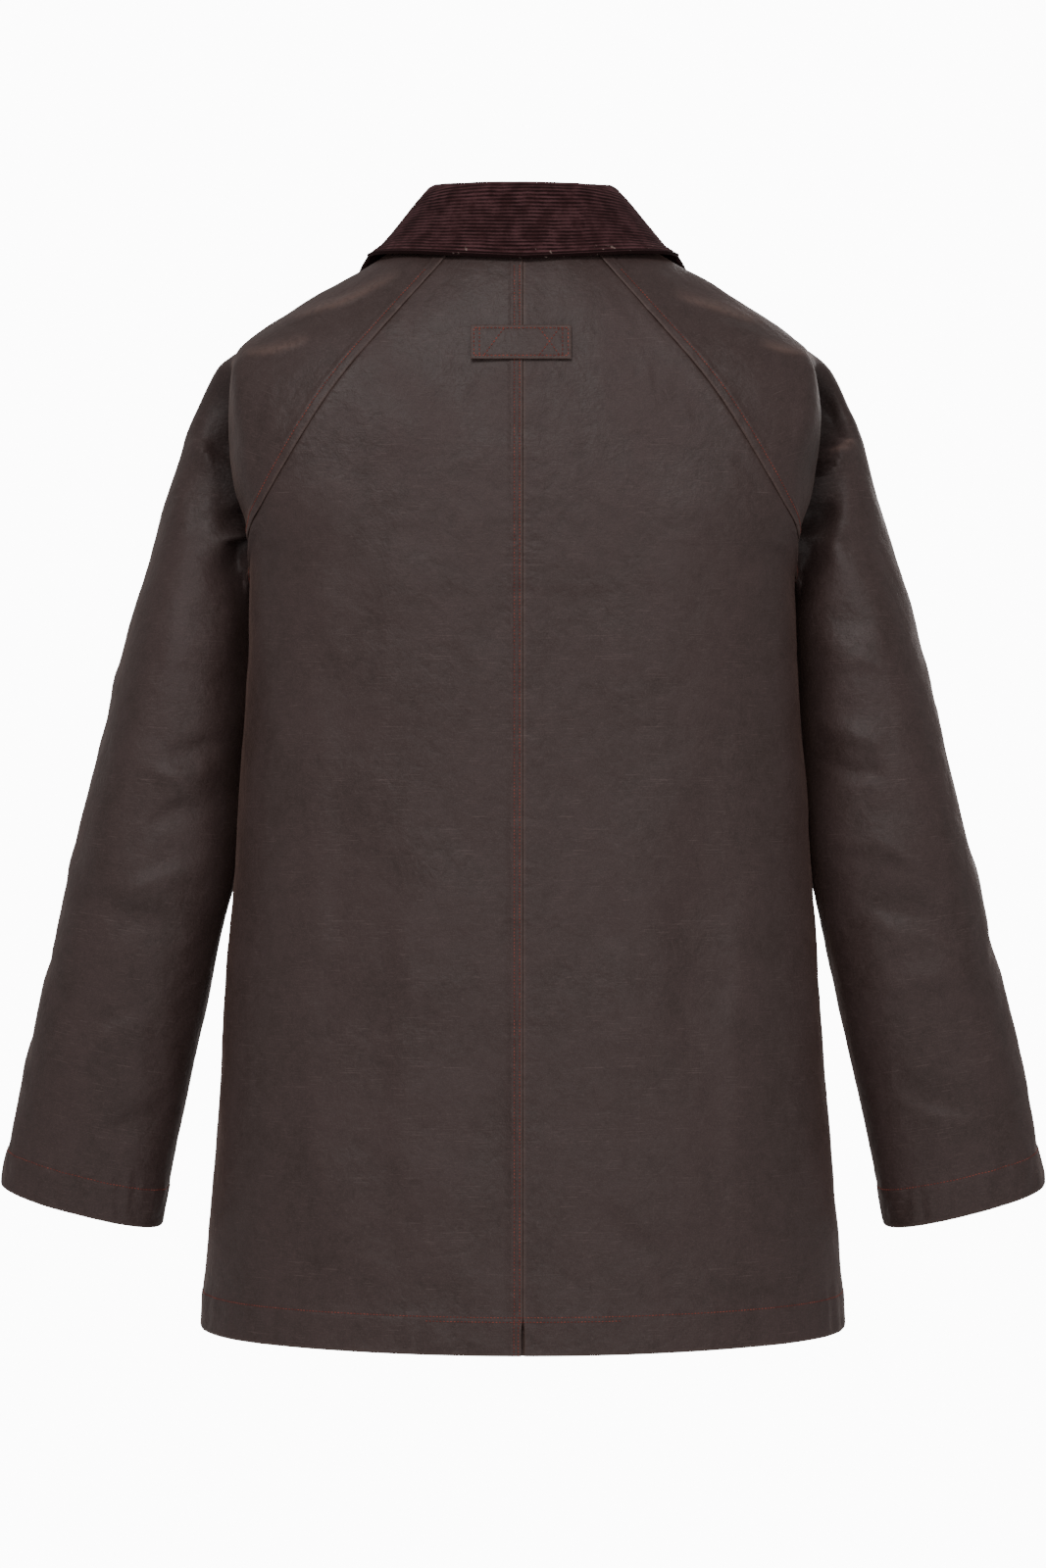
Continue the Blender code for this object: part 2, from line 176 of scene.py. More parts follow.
JOINT_PASSES = 60  # how often the rows of the form are softened where they meet at the underarm
UNION_BLEND = 8 * MM  # radius of the fold where the sleeve runs out of the body

# The raglan seams from neck to underarm. A turn is the angle round the body from the side to the
# back or front. The ridge is where the same row of the sleeve crosses its outer edge, and centre
# is the point inside the sleeve that the row goes round.
RAGLAN = table(
    "back_turn back_height front_turn front_height front_edge ridge centre",
    (59, -8, 47, -34, -70, -8, 30),
    (55, -26.5, 46, -50, -84, -23, 45),
    (49, -55, 44, -72, -98, -39, 65),
    (45.5, -78, 43, -94, -113, -54, 90),
    (42.4, -100, 41.5, -114, -128, -68, 115),
    (39.5, -122, 40, -134, -144, -81, 140),
    (37, -144, 38, -154, -161, -97, 160),
    (34, -169, 35, -176, -180, -128, 175),
    (29, -197, 29.5, -200, -202, -165, 183),
    (24, -212, 24, -213, -214, -197, 186),
    (17, -228, 17, -228, -228, -222, 188),
    (8.5, -243, 8.5, -243, -243, -241, 200),
    (0, -250, 0, -250, -250, -250, 229),
)

UNDERARM_ROW = len(RAGLAN["ridge"]) - 1

# The collar at each turn round the neck, from the front end to the centre back: how far its fold
# rises above the neck seam and stands out from it, and where the fall's edge lies on the body.
COLLAR = table(
    "neck_turn rise out edge_turn edge_height lift",
    (-88, 9, 2, -70, -122, 3.4),
    (-72, 15, 1, -58, -106, 2.4),
    (-47, 27, -1, -44, -72, 1),
    (-22, 34, -10, -22, -43, 1),
    (0, 36, -15, 0, -24, 1),
    (32, 34, -8, 32, -26, 1),
    (60, 31, 1, 60, -29, 1),
    (90, 30, 4, 90, -31, 1),
)


def slopes(x, y):
    """Tangents of a smooth curve through points that never overshoots them."""
    steps = np.diff(y) / np.diff(x)
    before, after = steps[:-1], steps[1:]
    total = np.where(before + after == 0, 1, before + after)
    inner = np.where(before * after > 0, 2 * before * after / total, 0)
    return np.concatenate([steps[:1], inner, steps[-1:]])


def cubic(t, step, y, tangent, i):
    """The curve from value i to the next one, at a share t of the step between them."""
    lower = (1 + 2 * t) * (1 - t) ** 2 * y[i] + t * (1 - t) ** 2 * step * tangent[i]
    upper = t * t * (3 - 2 * t) * y[i + 1] + t * t * (t - 1) * step * tangent[i + 1]
    return lower + upper


def smooth(x, y, at):
    """The value at some x of the smooth curve through a table's column, where x rises."""
    tangent = slopes(x, y)
    at = np.clip(at, x[0], x[-1])
    i = np.clip(np.searchsorted(x, at, side="right") - 1, 0, len(x) - 2)
    step = x[i + 1] - x[i]
    t = (at - x[i]) / step
    return cubic(t, step, y, tangent, i)


def at_height(form, column, height):
    return smooth(form["height"][::-1], form[column][::-1], height)


def body_width(height):
    return at_height(BODY, "width", height)


def body_depth(height, to_back):
    """The form's depth at a height and how square its corners are, at the back or the front."""
    back, front, back_power, front_power = (
        at_height(BODY, column, height)
        for column in ("back", "front", "back_power", "front_power")
    )
    return np.where(to_back, back, front), np.where(to_back, back_power, front_power)


def body_gauge(x, y, height):
    """Below 1 inside the body's form, 1 on it and above 1 outside."""
    depth, power = body_depth(height, y > 0)
    across, along = np.abs(x) / body_width(height), np.abs(y) / depth
    return (across**power + along**power) ** (1 / power)


def body_point(turn, height):
    """The point of the body's form at an angle round it: 0 is its left side, pi / 2 its back."""
    x, y = np.cos(turn), np.sin(turn)
    radius = 1 / body_gauge(x, y, height)
    return np.stack([x * radius, y * radius, height + 0 * radius], axis=-1)


def body_normal(point):
    """The outward direction of the body's form."""
    step = 0.5 * MM
    slope = [
        body_gauge(*(point + step * axis).T) - body_gauge(*(point - step * axis).T)
        for axis in np.eye(3)
    ]
    slope = np.array(slope).T
    return slope / np.linalg.norm(slope, axis=-1, keepdims=True)


def body_at(x, height, side):
    """The point of the back (side 1) or the front (side -1) straight behind some x and height."""
    depth, power = body_depth(height, side > 0)
    y = side * depth * (1 - (np.abs(x) / body_width(height)) ** power) ** (1 / power)
    return np.stack([x + 0 * y, y, height + 0 * y], axis=-1)


def sleeve_gauge(x, y, height):
    outer, inner = at_height(SLEEVE, "outer", height), at_height(SLEEVE, "inner", height)
    back, front = at_height(SLEEVE, "back", height), at_height(SLEEVE, "front", height)
    across = np.abs(x - (outer + inner) / 2) / ((outer - inner) / 2)
    along = np.abs(y - (back + front) / 2) / ((back - front) / 2)
    return (across**SLEEVE_POWER + along**SLEEVE_POWER) ** (1 / SLEEVE_POWER)


def jacket_distance(x, y, height, with_body):
    """Below 0 inside the sleeve, or inside the sleeve and the body blended along a soft fold."""
    width = at_height(SLEEVE, "outer", height) - at_height(SLEEVE, "inner", height)
    sleeve = (sleeve_gauge(x, y, height) - 1) * width / 2
    # The hanging sleeve's form ends at the top of the shoulder.
    sleeve = sleeve + 40 * MM * ease(height, -88 * MM, -72 * MM)
    if not with_body:
        return sleeve
    body = (body_gauge(x, y, height) - 1) * body_width(height) * 0.7
    blend = np.clip(1 - np.abs(sleeve - body) / (2 * UNION_BLEND), 0, 1)
    return np.minimum(sleeve, body) - blend**2 * UNION_BLEND / 2


def ray_out(centre, angle, height, with_body):
    """Where level rays from a point inside the sleeve come out of the cloth's form."""
    near = np.zeros_like(angle)
    far = np.full_like(angle, 0.4)
    for _ in range(30):
        middle = (near + far) / 2
        x, y = centre[0] + middle * np.cos(angle), centre[1] + middle * np.sin(angle)
        inside = jacket_distance(x, y, height, with_body) < 0
        near, far = np.where(inside, middle, near), np.where(inside, far, middle)
    x, y = centre[0] + near * np.cos(angle), centre[1] + near * np.sin(angle)
    return np.stack([x, y, height + 0 * x], axis=-1)


def panel_line(centre_turn, centre_height, seam_turn, seam_height):
    """One row of a back or front panel, from the centre seam to the raglan or side seam."""
    share = np.linspace(0, 1, FINE)
    turn = centre_turn + (seam_turn - centre_turn) * share
    height = centre_height + (seam_height - centre_height) * share**2
    return body_point(turn, height)


def raglan_line(face, i):
    """One row of a back or front panel that ends at the raglan seam."""
    sign, centre_height = (1, "back_height") if face == "back" else (-1, "front_edge")
    seam_turn = sign * math.radians(RAGLAN[face + "_turn"][i])
    seam_height = RAGLAN[face + "_height"][i]
    return panel_line(sign * math.pi / 2, RAGLAN[centre_height][i], seam_turn, seam_height)


def arch_line(i):
    """One row of the sleeve from the back raglan seam, over its outer edge, to the front seam."""
    centre = np.array([RAGLAN["centre"][i], 0])
    with_body = centre[0] < body_width(RAGLAN["back_height"][i])
    if not with_body:
        back, front = at_height(SLEEVE, "back", UNDERARM), at_height(SLEEVE, "front", UNDERARM)
        centre[1] = (back + front) / 2
    halves = []
    for side, name in ((1, "back"), (-1, "front")):
        seam_height = RAGLAN[name + "_height"][i]
        seam = body_point(side * math.radians(RAGLAN[name + "_turn"][i]), seam_height)
        seam_angle = side * abs(math.atan2(seam[1] - centre[1], seam[0] - centre[0]))
        share = np.linspace(0, 1, FINE)
        height = RAGLAN["ridge"][i] + (seam_height - RAGLAN["ridge"][i]) * share**2
        half = ray_out(centre, seam_angle * share, height, with_body)
        half[-1] = seam
        halves.append(half)
    return np.concatenate([halves[0][::-1], halves[1][1:]])


def ring_line(share):
    """One closed row of the hanging sleeve, cut square to it, starting and ending at its seam."""
    outer_height = UNDERARM + (CUFF_OUTER - UNDERARM) * share
    inner_height = UNDERARM + (CUFF_INNER - UNDERARM) * share
    outer = at_height(SLEEVE, "outer", outer_height)
    inner = at_height(SLEEVE, "inner", inner_height)
    middle = (outer_height + inner_height) / 2
    back, front = at_height(SLEEVE, "back", middle), at_height(SLEEVE, "front", middle)
    seam_turn = math.asin((-(back + front) / (back - front)) ** (SLEEVE_POWER / 2)) * (1 - share)
    halves = []
    for side in (1, -1):
        angle = np.linspace(0, side * math.pi - seam_turn, FINE)
        across = np.sign(np.cos(angle)) * np.abs(np.cos(angle)) ** (2 / SLEEVE_POWER)
        along = np.sign(np.sin(angle)) * np.abs(np.sin(angle)) ** (2 / SLEEVE_POWER)
        x = (outer + inner) / 2 + (outer - inner) / 2 * across
        y = (back + front) / 2 + (back - front) / 2 * along
        height = middle + (outer_height - inner_height) / 2 * across - CUFF_DROP * share**2 * along
        halves.append(np.stack([x, y, height], axis=-1))
    return np.concatenate([halves[0][::-1], halves[1][1:]])


def grid_faces(index):
    """Quads of a grid of vertex numbers."""
    corners = index[:-1, :-1], index[1:, :-1], index[1:, 1:], index[:-1, 1:]
    return np.stack(corners, axis=-1).reshape(-1, 4).tolist()


# Creases in millimetres, for each piece and the view that they are placed in: the start and end of
# the line in that view, its bow, its width and its height (below 0 for a trough). The side on the
# left of the line, going from start to end, is the steeper one.
CREASES = {
    ("back_left", "back"): (
        (43, -95, 26, -110, 1, 3, 0.5), (46, -104, 34, -112, 1, 3, 0.4),
        (187, -221, 168, -212, 2, 5, 1.4), (190, -232, 160, -222, -2, 7, -1.2),
        (62, -420, 78, -700, 12, 26, 3.0), (128, -300, 150, -620, -10, 22, -2.8),
        (150, -560, 122, -752, 8, 20, 3.2), (20, -560, 34, -740, 4, 18, -1.9),
        (172, -330, 182, -520, 4, 14, 2.3), (96, -150, 120, -330, 9, 24, -2.5),
        (30, -180, 50, -420, -8, 30, 2.3),
    ),
    ("back_right", "back"): (
        (-86, -88, -95, -116, 2, 4, 0.9), (-98, -98, -108, -132, 2, 5, 1.0),
        (-111, -112, -119, -142, 1, 4, 0.9), (-90, -94, -101, -130, 2, 4, -0.8),
        (-187, -221, -168, -212, -2, 5, 1.4), (-190, -232, -160, -224, 2, 7, -1.2),
        (-60, -675, -103, -714, 3, 10, 1.5), (-52, -690, -92, -728, 3, 9, -1.1),
        (-74, -400, -58, -640, -9, 26, 2.8), (-140, -340, -122, -600, 10, 22, -3.0),
        (-164, -420, -150, -700, 7, 18, 2.8), (-30, -250, -40, -480, 6, 26, -2.1),
        (-118, -180, -104, -340, 6, 24, 2.3),
    ),
    ("front_left", "front"): (
        (150, -250, 90, -330, 8, 16, 3.8), (120, -380, 130, -640, 12, 26, 3.4),
        (70, -460, 60, -700, -8, 24, -3.0), (120, -120, 80, -220, -6, 18, 3.0),
        (176, -330, 160, -560, 6, 18, 3.0),
    ),
    ("front_right", "front"): (
        (-152, -256, -88, -322, -8, 16, 3.8), (-118, -400, -134, -650, -12, 26, 3.4),
        (-64, -440, -66, -690, 8, 24, -3.0), (-116, -130, -84, -230, 6, 18, 3.0),
        (-178, -340, -158, -570, -6, 18, 3.0),
    ),
    ("sleeve_left", "back"): (
        (200, -87, 150, -76, 1, 5, 2.4), (181, -70, 125, -55, -2, 5.5, 1.3),
        (166, -62, 86, -30, 3, 5, 2.6), (150, -68, 100, -50, 2, 6, -1.2),
        (199, -250, 213, -96, 2, 16, -24), (206, -480, 197, -225, 2, 12, -12),
        (190, -232, 200, -92, 2, 5, 1.8), (207, -82, 212, -156, 0, 6, -9),
        (202, -192, 232, -146, 3, 7, 11), (209, -236, 228, -154, 5, 8, 6),
        (198, -236, 214, -172, 2, 6, -6), (236, -226, 244, -150, -3, 8, 1.6),
        (206, -262, 246, -274, -4, 8, -3.9), (204, -286, 258, -300, 4, 9, 3.6),
        (206, -352, 252, -368, -3, 7, -3.3), (208, -374, 262, -384, -4, 9, 3.9),
        (216, -404, 268, -420, 4, 8, -3.6), (222, -446, 300, -486, 6, 11, 3.6),
        (236, -500, 318, -470, 5, 12, -3.9), (262, -560, 326, -590, 5, 12, 3.3),
        (250, -610, 300, -640, -4, 10, -2.7), (268, -300, 300, -470, 10, 16, 2.4),
    ),
    ("sleeve_left", "side"): (
        (-60, -300, 30, -340, 6, 12, 1.2), (-70, -430, 30, -470, 8, 14, 1.4),
        (-60, -470, 20, -520, -8, 12, -1.4), (-70, -560, 0, -600, 6, 12, 1.1),
    ),
    ("sleeve_left", "front"): (
        (240, -300, 190, -330, 4, 10, 3.0), (300, -440, 215, -480, 5, 11, 3.2),
        (320, -520, 240, -500, -5, 11, -3.0), (330, -590, 262, -620, 4, 11, 2.4),
    ),
    ("sleeve_right", "back"): (
        (-106, -43, -172, -65, 2, 5, 2.4), (-166, -79, -206, -88, 1, 5, 2.4),
        (-130, -66, -186, -80, -2, 5, 1.1), (-213, -92, -199, -245, 2, 16, -24),
        (-197, -225, -206, -480, 2, 12, -12), (-205, -84, -212, -156, 0, 6, -9),
        (-207, -104, -229, -148, 3, 8, -10), (-198, -92, -190, -232, 2, 5, 1.8),
        (-234, -148, -212, -160, 2, 4, 5), (-229, -152, -202, -208, 6, 7, 11),
        (-214, -190, -197, -224, 4, 6, -6), (-232, -170, -218, -236, 4, 7, 3.5),
        (-243, -118, -226, -152, 4, 6, 2.4), (-206, -270, -248, -284, 4, 8, -3.6),
        (-204, -300, -262, -312, -4, 9, 3.6), (-208, -346, -256, -360, 3, 8, 3.6),
        (-208, -368, -258, -386, 4, 8, -3.6), (-220, -430, -290, -452, -6, 11, 3.6),
        (-232, -476, -310, -500, -5, 12, -3.9), (-246, -540, -322, -530, -5, 12, 3.3),
        (-258, -600, -318, -622, 4, 10, -2.7), (-272, -320, -304, -490, -9, 16, 2.4),
    ),
    ("sleeve_right", "side"): (
        (-60, -290, 30, -330, 6, 12, 1.2), (-70, -420, 30, -458, -8, 14, 1.4),
        (-60, -480, 20, -520, 8, 12, -1.4), (-70, -570, 0, -606, 6, 12, 1.1),
    ),
    ("sleeve_right", "front"): (
        (-238, -310, -190, -334, -4, 10, 3.0), (-298, -436, -215, -474, -5, 11, 3.2),
        (-318, -524, -240, -506, 5, 11, -3.0), (-328, -580, -262, -612, -4, 11, 2.4),
    ),
}

# How much further apart than the setting a piece's rows are, and how many columns it has between
# those close to its edges.
GRIDS = {"back": (1, 74), "front": (1.75, 52), "sleeve": (1.1, 145)}

grids = {}  # the finished grids of the cloth pieces, for what is sewn on them


def ease(value, low, high):
    """0 below low, 1 above high and soft between them."""
    t = np.clip((value - low) / (high - low), 0, 1)
    return t * t * (3 - 2 * t)


def fade(value, low, high):
    """1 below low, 0 above high and soft between them."""
    return 1 - ease(value, low, high)


def ridge(value, at, width):
    return np.exp(-(((value - at) / width) ** 2))


def lengths(points):
    """Distances along a line of points from its start."""
    steps = np.linalg.norm(np.diff(points, axis=0), axis=1)
    return np.concatenate([[0], np.cumsum(steps)])


def laid_out(points, middle, first, last, under=0):
    """A row's points at the grid's distances along it, each with that distance as a fourth value.
    A row that reaches under its neighbour starts that much before the seam."""
    if under:
        points = np.concatenate([points[:0:-1] * (-1, 1, 1), points])
        along = lengths(points)
        along -= along[len(points) // 2]
        start = np.concatenate([[-under, -under / 2, -1.2 * MM, -0.6 * MM], NEAR + first])
    else:
        along = lengths(points)
        start = NEAR + first
    end = along[-1] - (NEAR + last)[::-1]
    at = np.concatenate([start, np.linspace(start[-1], end[0], middle + 1)[1:-1], end])
    return np.stack([*(np.interp(at, along, points[:, k]) for k in range(3)), at], axis=-1)


def between(rows, stations, at):
    """Rows on the smooth surface through a few rows of the form."""
    gaps = np.diff(stations)[:, None, None]
    rates = np.diff(rows, axis=0) / gaps
    inner = (rates[:-1] * gaps[1:] + rates[1:] * gaps[:-1]) / (gaps[:-1] + gaps[1:])
    tangents = np.concatenate([rates[:1], inner, rates[-1:]])
    i = np.clip(np.searchsorted(stations, at, side="right") - 1, 0, len(stations) - 2)
    gap = gaps[i]
    t = (at - stations[i])[:, None, None] / gap
    return cubic(t, gap, rows, tangents, i)


def seam_stations():
    """How far down the raglan seams each row of the form lies, as the mean of back and front."""
    seams = []
    for side, name in ((1, "back"), (-1, "front")):
        turns = side * np.radians(RAGLAN[name + "_turn"])
        seams.append(lengths(body_point(turns, RAGLAN[name + "_height"])))
    return (seams[0] + seams[1]) / 2


def row_places(end, turn, cell):
    """Distances down a piece, closest at its lower edge and at the stitches of its turn."""
    below = end - NEAR[::-1]
    stitches = end - turn + np.array((-2.4, -1.2, 0, 1.2, 2.4)) * MM
    upper = np.linspace(0, stitches[0], round(stitches[0] / cell) + 1)[:-1]
    lower = np.linspace(stitches[-1], below[0], round((below[0] - stitches[-1]) / cell) + 1)
    return np.concatenate([upper, stitches[:-1], lower[:-1], below])


def facing(grid, view):
    """How much of the cloth shows in a view, from 0 to 1, and the direction towards the viewer."""
    views = {"back": (0, 1, 0), "front": (0, -1, 0), "side": (grid["side"], 0, 0)}
    towards = np.array(views[view], float)
    return ease(grid["normals"] @ towards, -0.45, 0.2), towards


def creased(grid):
    """How far a piece's creases move its points, and a value above 0 on sharp ridges, for wear with
    a painted highlight, and below 0 in deep folds, for painted shade."""
    points = grid["points"]
    moved = np.zeros(points.shape)
    worn = np.zeros(points.shape[:2])
    creases = [
        (view, *crease)
        for (name, view), lines in CREASES.items()
        for crease in lines
        if name == grid["name"]
    ]
    for view, x0, z0, x1, z1, bow, width, rise in creases:
        # The lines across the back are placed as seen from the camera's distance.
        spread = 1 / (1 - points[..., 1] / CAMERA[1]) if view == "back" else 1
        across = points[..., 1 if view == "side" else 0] * spread / MM
        down = ((points[..., 2] - CAMERA[2]) * spread + CAMERA[2]) / MM
        run = np.array((x1 - x0, z1 - z0), float)
        length = np.hypot(*run)
        run /= length
        wander = 3 * np.sin(down * 0.09 + x0) + 2 * np.sin(across * 0.13 + z0)
        t = ((across - x0) * run[0] + (down - z0) * run[1]) / length
        off = (down - z0) * run[0] - (across - x0) * run[1] - bow * 4 * t * (1 - t)
        off += wander * width / 22
        steep = np.where(off > 0, width * 0.55, width * 1.15)
        ends = np.clip(4 * t * (1 - t), 0, 1) ** 0.75 * ((t > 0) & (t < 1))
        shown, towards = facing(grid, view)
        shape = np.exp(-((off / steep) ** 2)) * ends * shown
        moved += rise * MM * shape[..., None] * towards
        # Sharp ridges get wear and a painted highlight; deep folds get painted shade.
        sharp = 0.2 * rise if rise > 2 and width < 6 else 0
        core = np.exp(-((off / steep / 0.8) ** 2))
        worn += (sharp + min(rise + 3, 0) / 14) * core * ends * shown
    return moved, np.clip(worn, -1, 1)


def softened(points, weight, passes):
    """A grid whose rows run more smoothly into each other where the weight is high."""
    weight = weight[1:-1, :, None] / 2
    for _ in range(passes):
        bend = points[:-2] + points[2:] - 2 * points[1:-1]
        points = np.concatenate([points[:1], points[1:-1] + weight * bend, points[-1:]])
    return points


def lumps(points, size, seed):
    """Soft noise over a grid of points, from about -1 to 1."""
    flat = (points[..., :3].reshape(-1, 3) / size + seed).tolist()
    return np.array([noise.noise(Vector(point)) for point in flat]).reshape(points.shape[:2])


def outward(points, sign):
    """Unit normals of a grid of points."""
    across, down = np.gradient(points, axis=1), np.gradient(points, axis=0)
    normals = np.cross(across, down) * sign
    return normals / np.maximum(np.linalg.norm(normals, axis=-1, keepdims=True), 1e-12)


def turn_height(below, turn, marks):
    """A turned-up hem or cuff: its step, its stitches' groove and the puckers round them."""
    step = 0.7 * MM * fade(below, turn, turn + 2.2 * MM)
    groove = -0.5 * MM * ridge(below, turn, 1.1 * MM)
    curl = -0.7 * MM * fade(below, 0, 1.4 * MM)
    puckers = 1.3 * MM * marks * ease(below, 0, 6 * MM)
    puckers = puckers * fade(below, turn + 2 * MM, turn + 16 * MM)
    return step + groove + curl + puckers


def lapped(edge, rows, top):
    """The upper edge of a lapped seam, with the grooves of its stitch rows."""
    height = LAP * fade(edge, top, top + 2.6 * MM) - 0.7 * MM * fade(edge, 0, 0.9 * MM)
    for row in rows:
        height = height - 0.3 * MM * ridge(edge, row, 0.75 * MM)
    return height


def piece_name(name, side):
    return f"{name}_{'left' if side > 0 else 'right'}"


def cloth_grid(name, side, rows, stations, places, outer):
    """A piece's fine grid before it is creased: points, normals and distances."""
    fine = between(np.array(rows), stations, places)
    points = fine[..., :3] * (side, 1, 1)
    sign = side if outer else -side
    return {
        "name": piece_name(name, side),
        "side": side,
        "sign": sign,
        "points": points,
        "normals": outward(points, sign),
        "first": fine[..., 3],
        "last": fine[:, -1:, 3] - fine[..., 3],
        "down": places,
        "below": (places[-1] - places)[:, None] + 0 * fine[..., 3],
    }


def finish_grid(grid, moved, height, worn, pucker):
    """Moves a grid's points out by a height and keeps what its material and stitches need."""
    grid["points"] = grid["points"] + moved + grid["normals"] * height[..., None]
    grid["normals"] = outward(grid["points"], grid["sign"])
    grid["worn"] = worn
    grid["pucker"] = pucker
    grids[grid["name"]] = grid


def rumple(points, seed):
    """The uneven lie of soft cloth, from broad swells to small crumples."""
    broad = 2.0 * lumps(points, 0.085, seed)
    small = 0.85 * lumps(points, 0.034, seed + 7)
    crumple = 0.7 * (0.35 - np.abs(lumps(points, 0.021, seed + 13)))
    return (broad + small + crumple) * MM


def panel_grid(face, side, cell, middle):
    """A back or front panel."""
    back = face == "back"
    sign = 1 if back else -1
    under = UNDERLAP if side < 0 else 0
    stations = seam_stations()
    lines = [raglan_line(face, i) for i in range(len(stations))]
    levels = np.append(np.linspace(UNDERARM, HEM_BACK + HEM_TURN, BODY_ROWS + 1)[1:], HEM_BACK)
    for level in levels:
        lift = HEM_LIFT * ((level - UNDERARM) / (HEM_BACK - UNDERARM)) ** 3
        lines.append(panel_line(sign * math.pi / 2, level, 0, level + lift))
    rows = [laid_out(line, middle, CENTRE_PULL, SEAM_PULL, under) for line in lines]
    stations = np.append(stations, stations[-1] + UNDERARM - levels)
    places = row_places(stations[-1], HEM_TURN, cell)
    grid = cloth_grid(face, side, rows, stations, places, back)
    points, first, last, below = (grid[key] for key in ("points", "first", "last", "below"))
    down = grid["down"][:, None] + 0 * first
    row = UNDERARM_ROW
    joint = ease(down, stations[row - 4], stations[row - 1])
    joint = joint * fade(down, stations[row + 1], stations[row + 2])
    grid["points"] = points = softened(points, joint * ease(last, 0, 12 * MM), JOINT_PASSES)
    grid["normals"] = outward(points, grid["sign"])
    moved, worn = creased(grid)
    calm = ease(first, 4 * MM, 30 * MM) * ease(last, 3 * MM, 22 * MM)
    moved *= (ease(last, 0, 9 * MM) * ease(first, 0, 12 * MM))[..., None]
    # The outer edge reaches under the sleeve, or under the other panel at the side.
    reach = points[:, -1:] - points[:, -3:-2]
    reach /= np.linalg.norm(reach, axis=-1, keepdims=True)
    moved += reach * (2.4 * MM * fade(last, 0, 5 * MM))[..., None]
    height = rumple(points, 3.1 * side + (0 if back else 20)) * (0.25 + 0.75 * calm)
    marks = lumps(points * (1, 1, 0.12), 0.0075, 5)
    height += turn_height(below, HEM_TURN, marks)
    ripples = lumps(points * (0.2, 0.2, 1), 0.0085, 31) * fade(first, 5 * MM, 22 * MM)
    raglan = lumps(points, 0.008, 41) * fade(last, 3 * MM, 16 * MM)
    height += (0.35 * ripples + 0.3 * raglan) * MM
    slit = fade(below, SLIT - 8 * MM, SLIT) if back else 0
    if back and side > 0:
        height += lapped(first, SEAM_ROWS, 7.8 * MM)
        moved[..., 0] += 1.1 * MM * slit * fade(first, 0, 9 * MM)
    elif side > 0:
        height -= 0.35 * MM * fade(first, 0, 2 * MM)
    else:
        deep = 2.4 * MM + 3.5 * MM * slit
        height -= deep * fade(first - 0.9 * MM * slit, -0.7 * MM, 0.2 * MM)
    height -= 1.3 * MM * fade(last, 0, 2.6 * MM)
    pucker = np.maximum(fade(first, 8 * MM, 20 * MM), fade(last, 4 * MM, 14 * MM))
    pucker = np.maximum(pucker, fade(below, HEM_TURN + 1 * MM, HEM_TURN + 9 * MM))
    finish_grid(grid, moved, height, worn, pucker)
    return grid


def sleeve_grid(side, cell, middle):
    """A raglan sleeve, open along its seam."""
    stations = seam_stations()
    rows = [laid_out(arch_line(i), middle, SEAM_PULL, SEAM_PULL) for i in range(len(stations) - 1)]
    shares = np.linspace(0, 1, SLEEVE_ROWS + 1)
    rings = [laid_out(ring_line(share), middle, CENTRE_PULL, CENTRE_PULL) for share in shares]
    length = (CUFF_OUTER + CUFF_INNER) / -2 + UNDERARM
    stations = np.append(stations, stations[-1] + length * shares[1:])
    places = row_places(stations[-1], CUFF_TURN, cell)
    grid = cloth_grid("sleeve", side, rows + rings, stations, places, True)
    points, first, last, below = (grid[key] for key in ("points", "first", "last", "below"))
    edge = np.minimum(first, last)
    down = grid["down"][:, None] + 0 * edge
    row = UNDERARM_ROW
    joint = ease(down, stations[row - 3], stations[row - 1])
    joint = joint * fade(down, stations[row + 1], stations[row + 2])
    grid["points"] = points = softened(points, joint * ease(edge, 0, 14 * MM), JOINT_PASSES)
    grid["normals"] = outward(points, grid["sign"])
    moved, worn = creased(grid)
    moved *= ease(edge, 0, 10 * MM)[..., None]
    drop = points[..., 2] / MM
    outer = side * grid["normals"][..., 0]
    # The back folds over the arm: below the fold's edge the cloth turns in under it.
    tucked = ease(drop, -244, -205) * fade(drop, -118, -94) * ease(outer, 0.2, 0.6)
    out, back = side * points[..., 0] / MM, points[..., 1] / MM
    tucked *= fade(back, 44, 74) * fade(out, 206, 218)
    brow = ease(out, 180, 196) * ease(back, 52, 76) * ease(drop, -215, -180)
    brow = brow * fade(drop, -104, -86)
    moved[..., 0] += side * (4.5 * MM * brow - TUCK * tucked * ease(back, 4, 22))
    # The arm lies against the body as far down as the waist.
    resting = ease(drop, -500, -425) * fade(drop, -268, -244)
    push = 4.5 + 2 * ease(-drop, 380, 445)
    moved[..., 0] -= push * MM * side * resting * ease(-outer, 0.1, 0.85)
    moved = softened(moved, ease(drop, -312, -290) * fade(drop, -244, -228), 9)
    height = rumple(points, 50 + 4.3 * side) * (0.3 + 0.9 * ease(edge, 4 * MM, 26 * MM))
    marks = lumps(points * (1, 1, 0.12), 0.0075, 9)
    height += turn_height(below, CUFF_TURN, marks)
    upper = fade(down, stations[row] - 12 * MM, stations[row] + 6 * MM)
    height += lapped(edge, (RAGLAN_ROW,), 7.8 * MM) * upper
    height += 0.35 * MM * lumps(points, 0.008, 61) * fade(edge, 6 * MM, 20 * MM)
    pucker = fade(edge, 8 * MM, 18 * MM) * (0.3 + 0.7 * upper)
    pucker = np.maximum(pucker, fade(below, CUFF_TURN + 1 * MM, CUFF_TURN + 9 * MM))
    finish_grid(grid, moved, height, worn, pucker)
    return grid


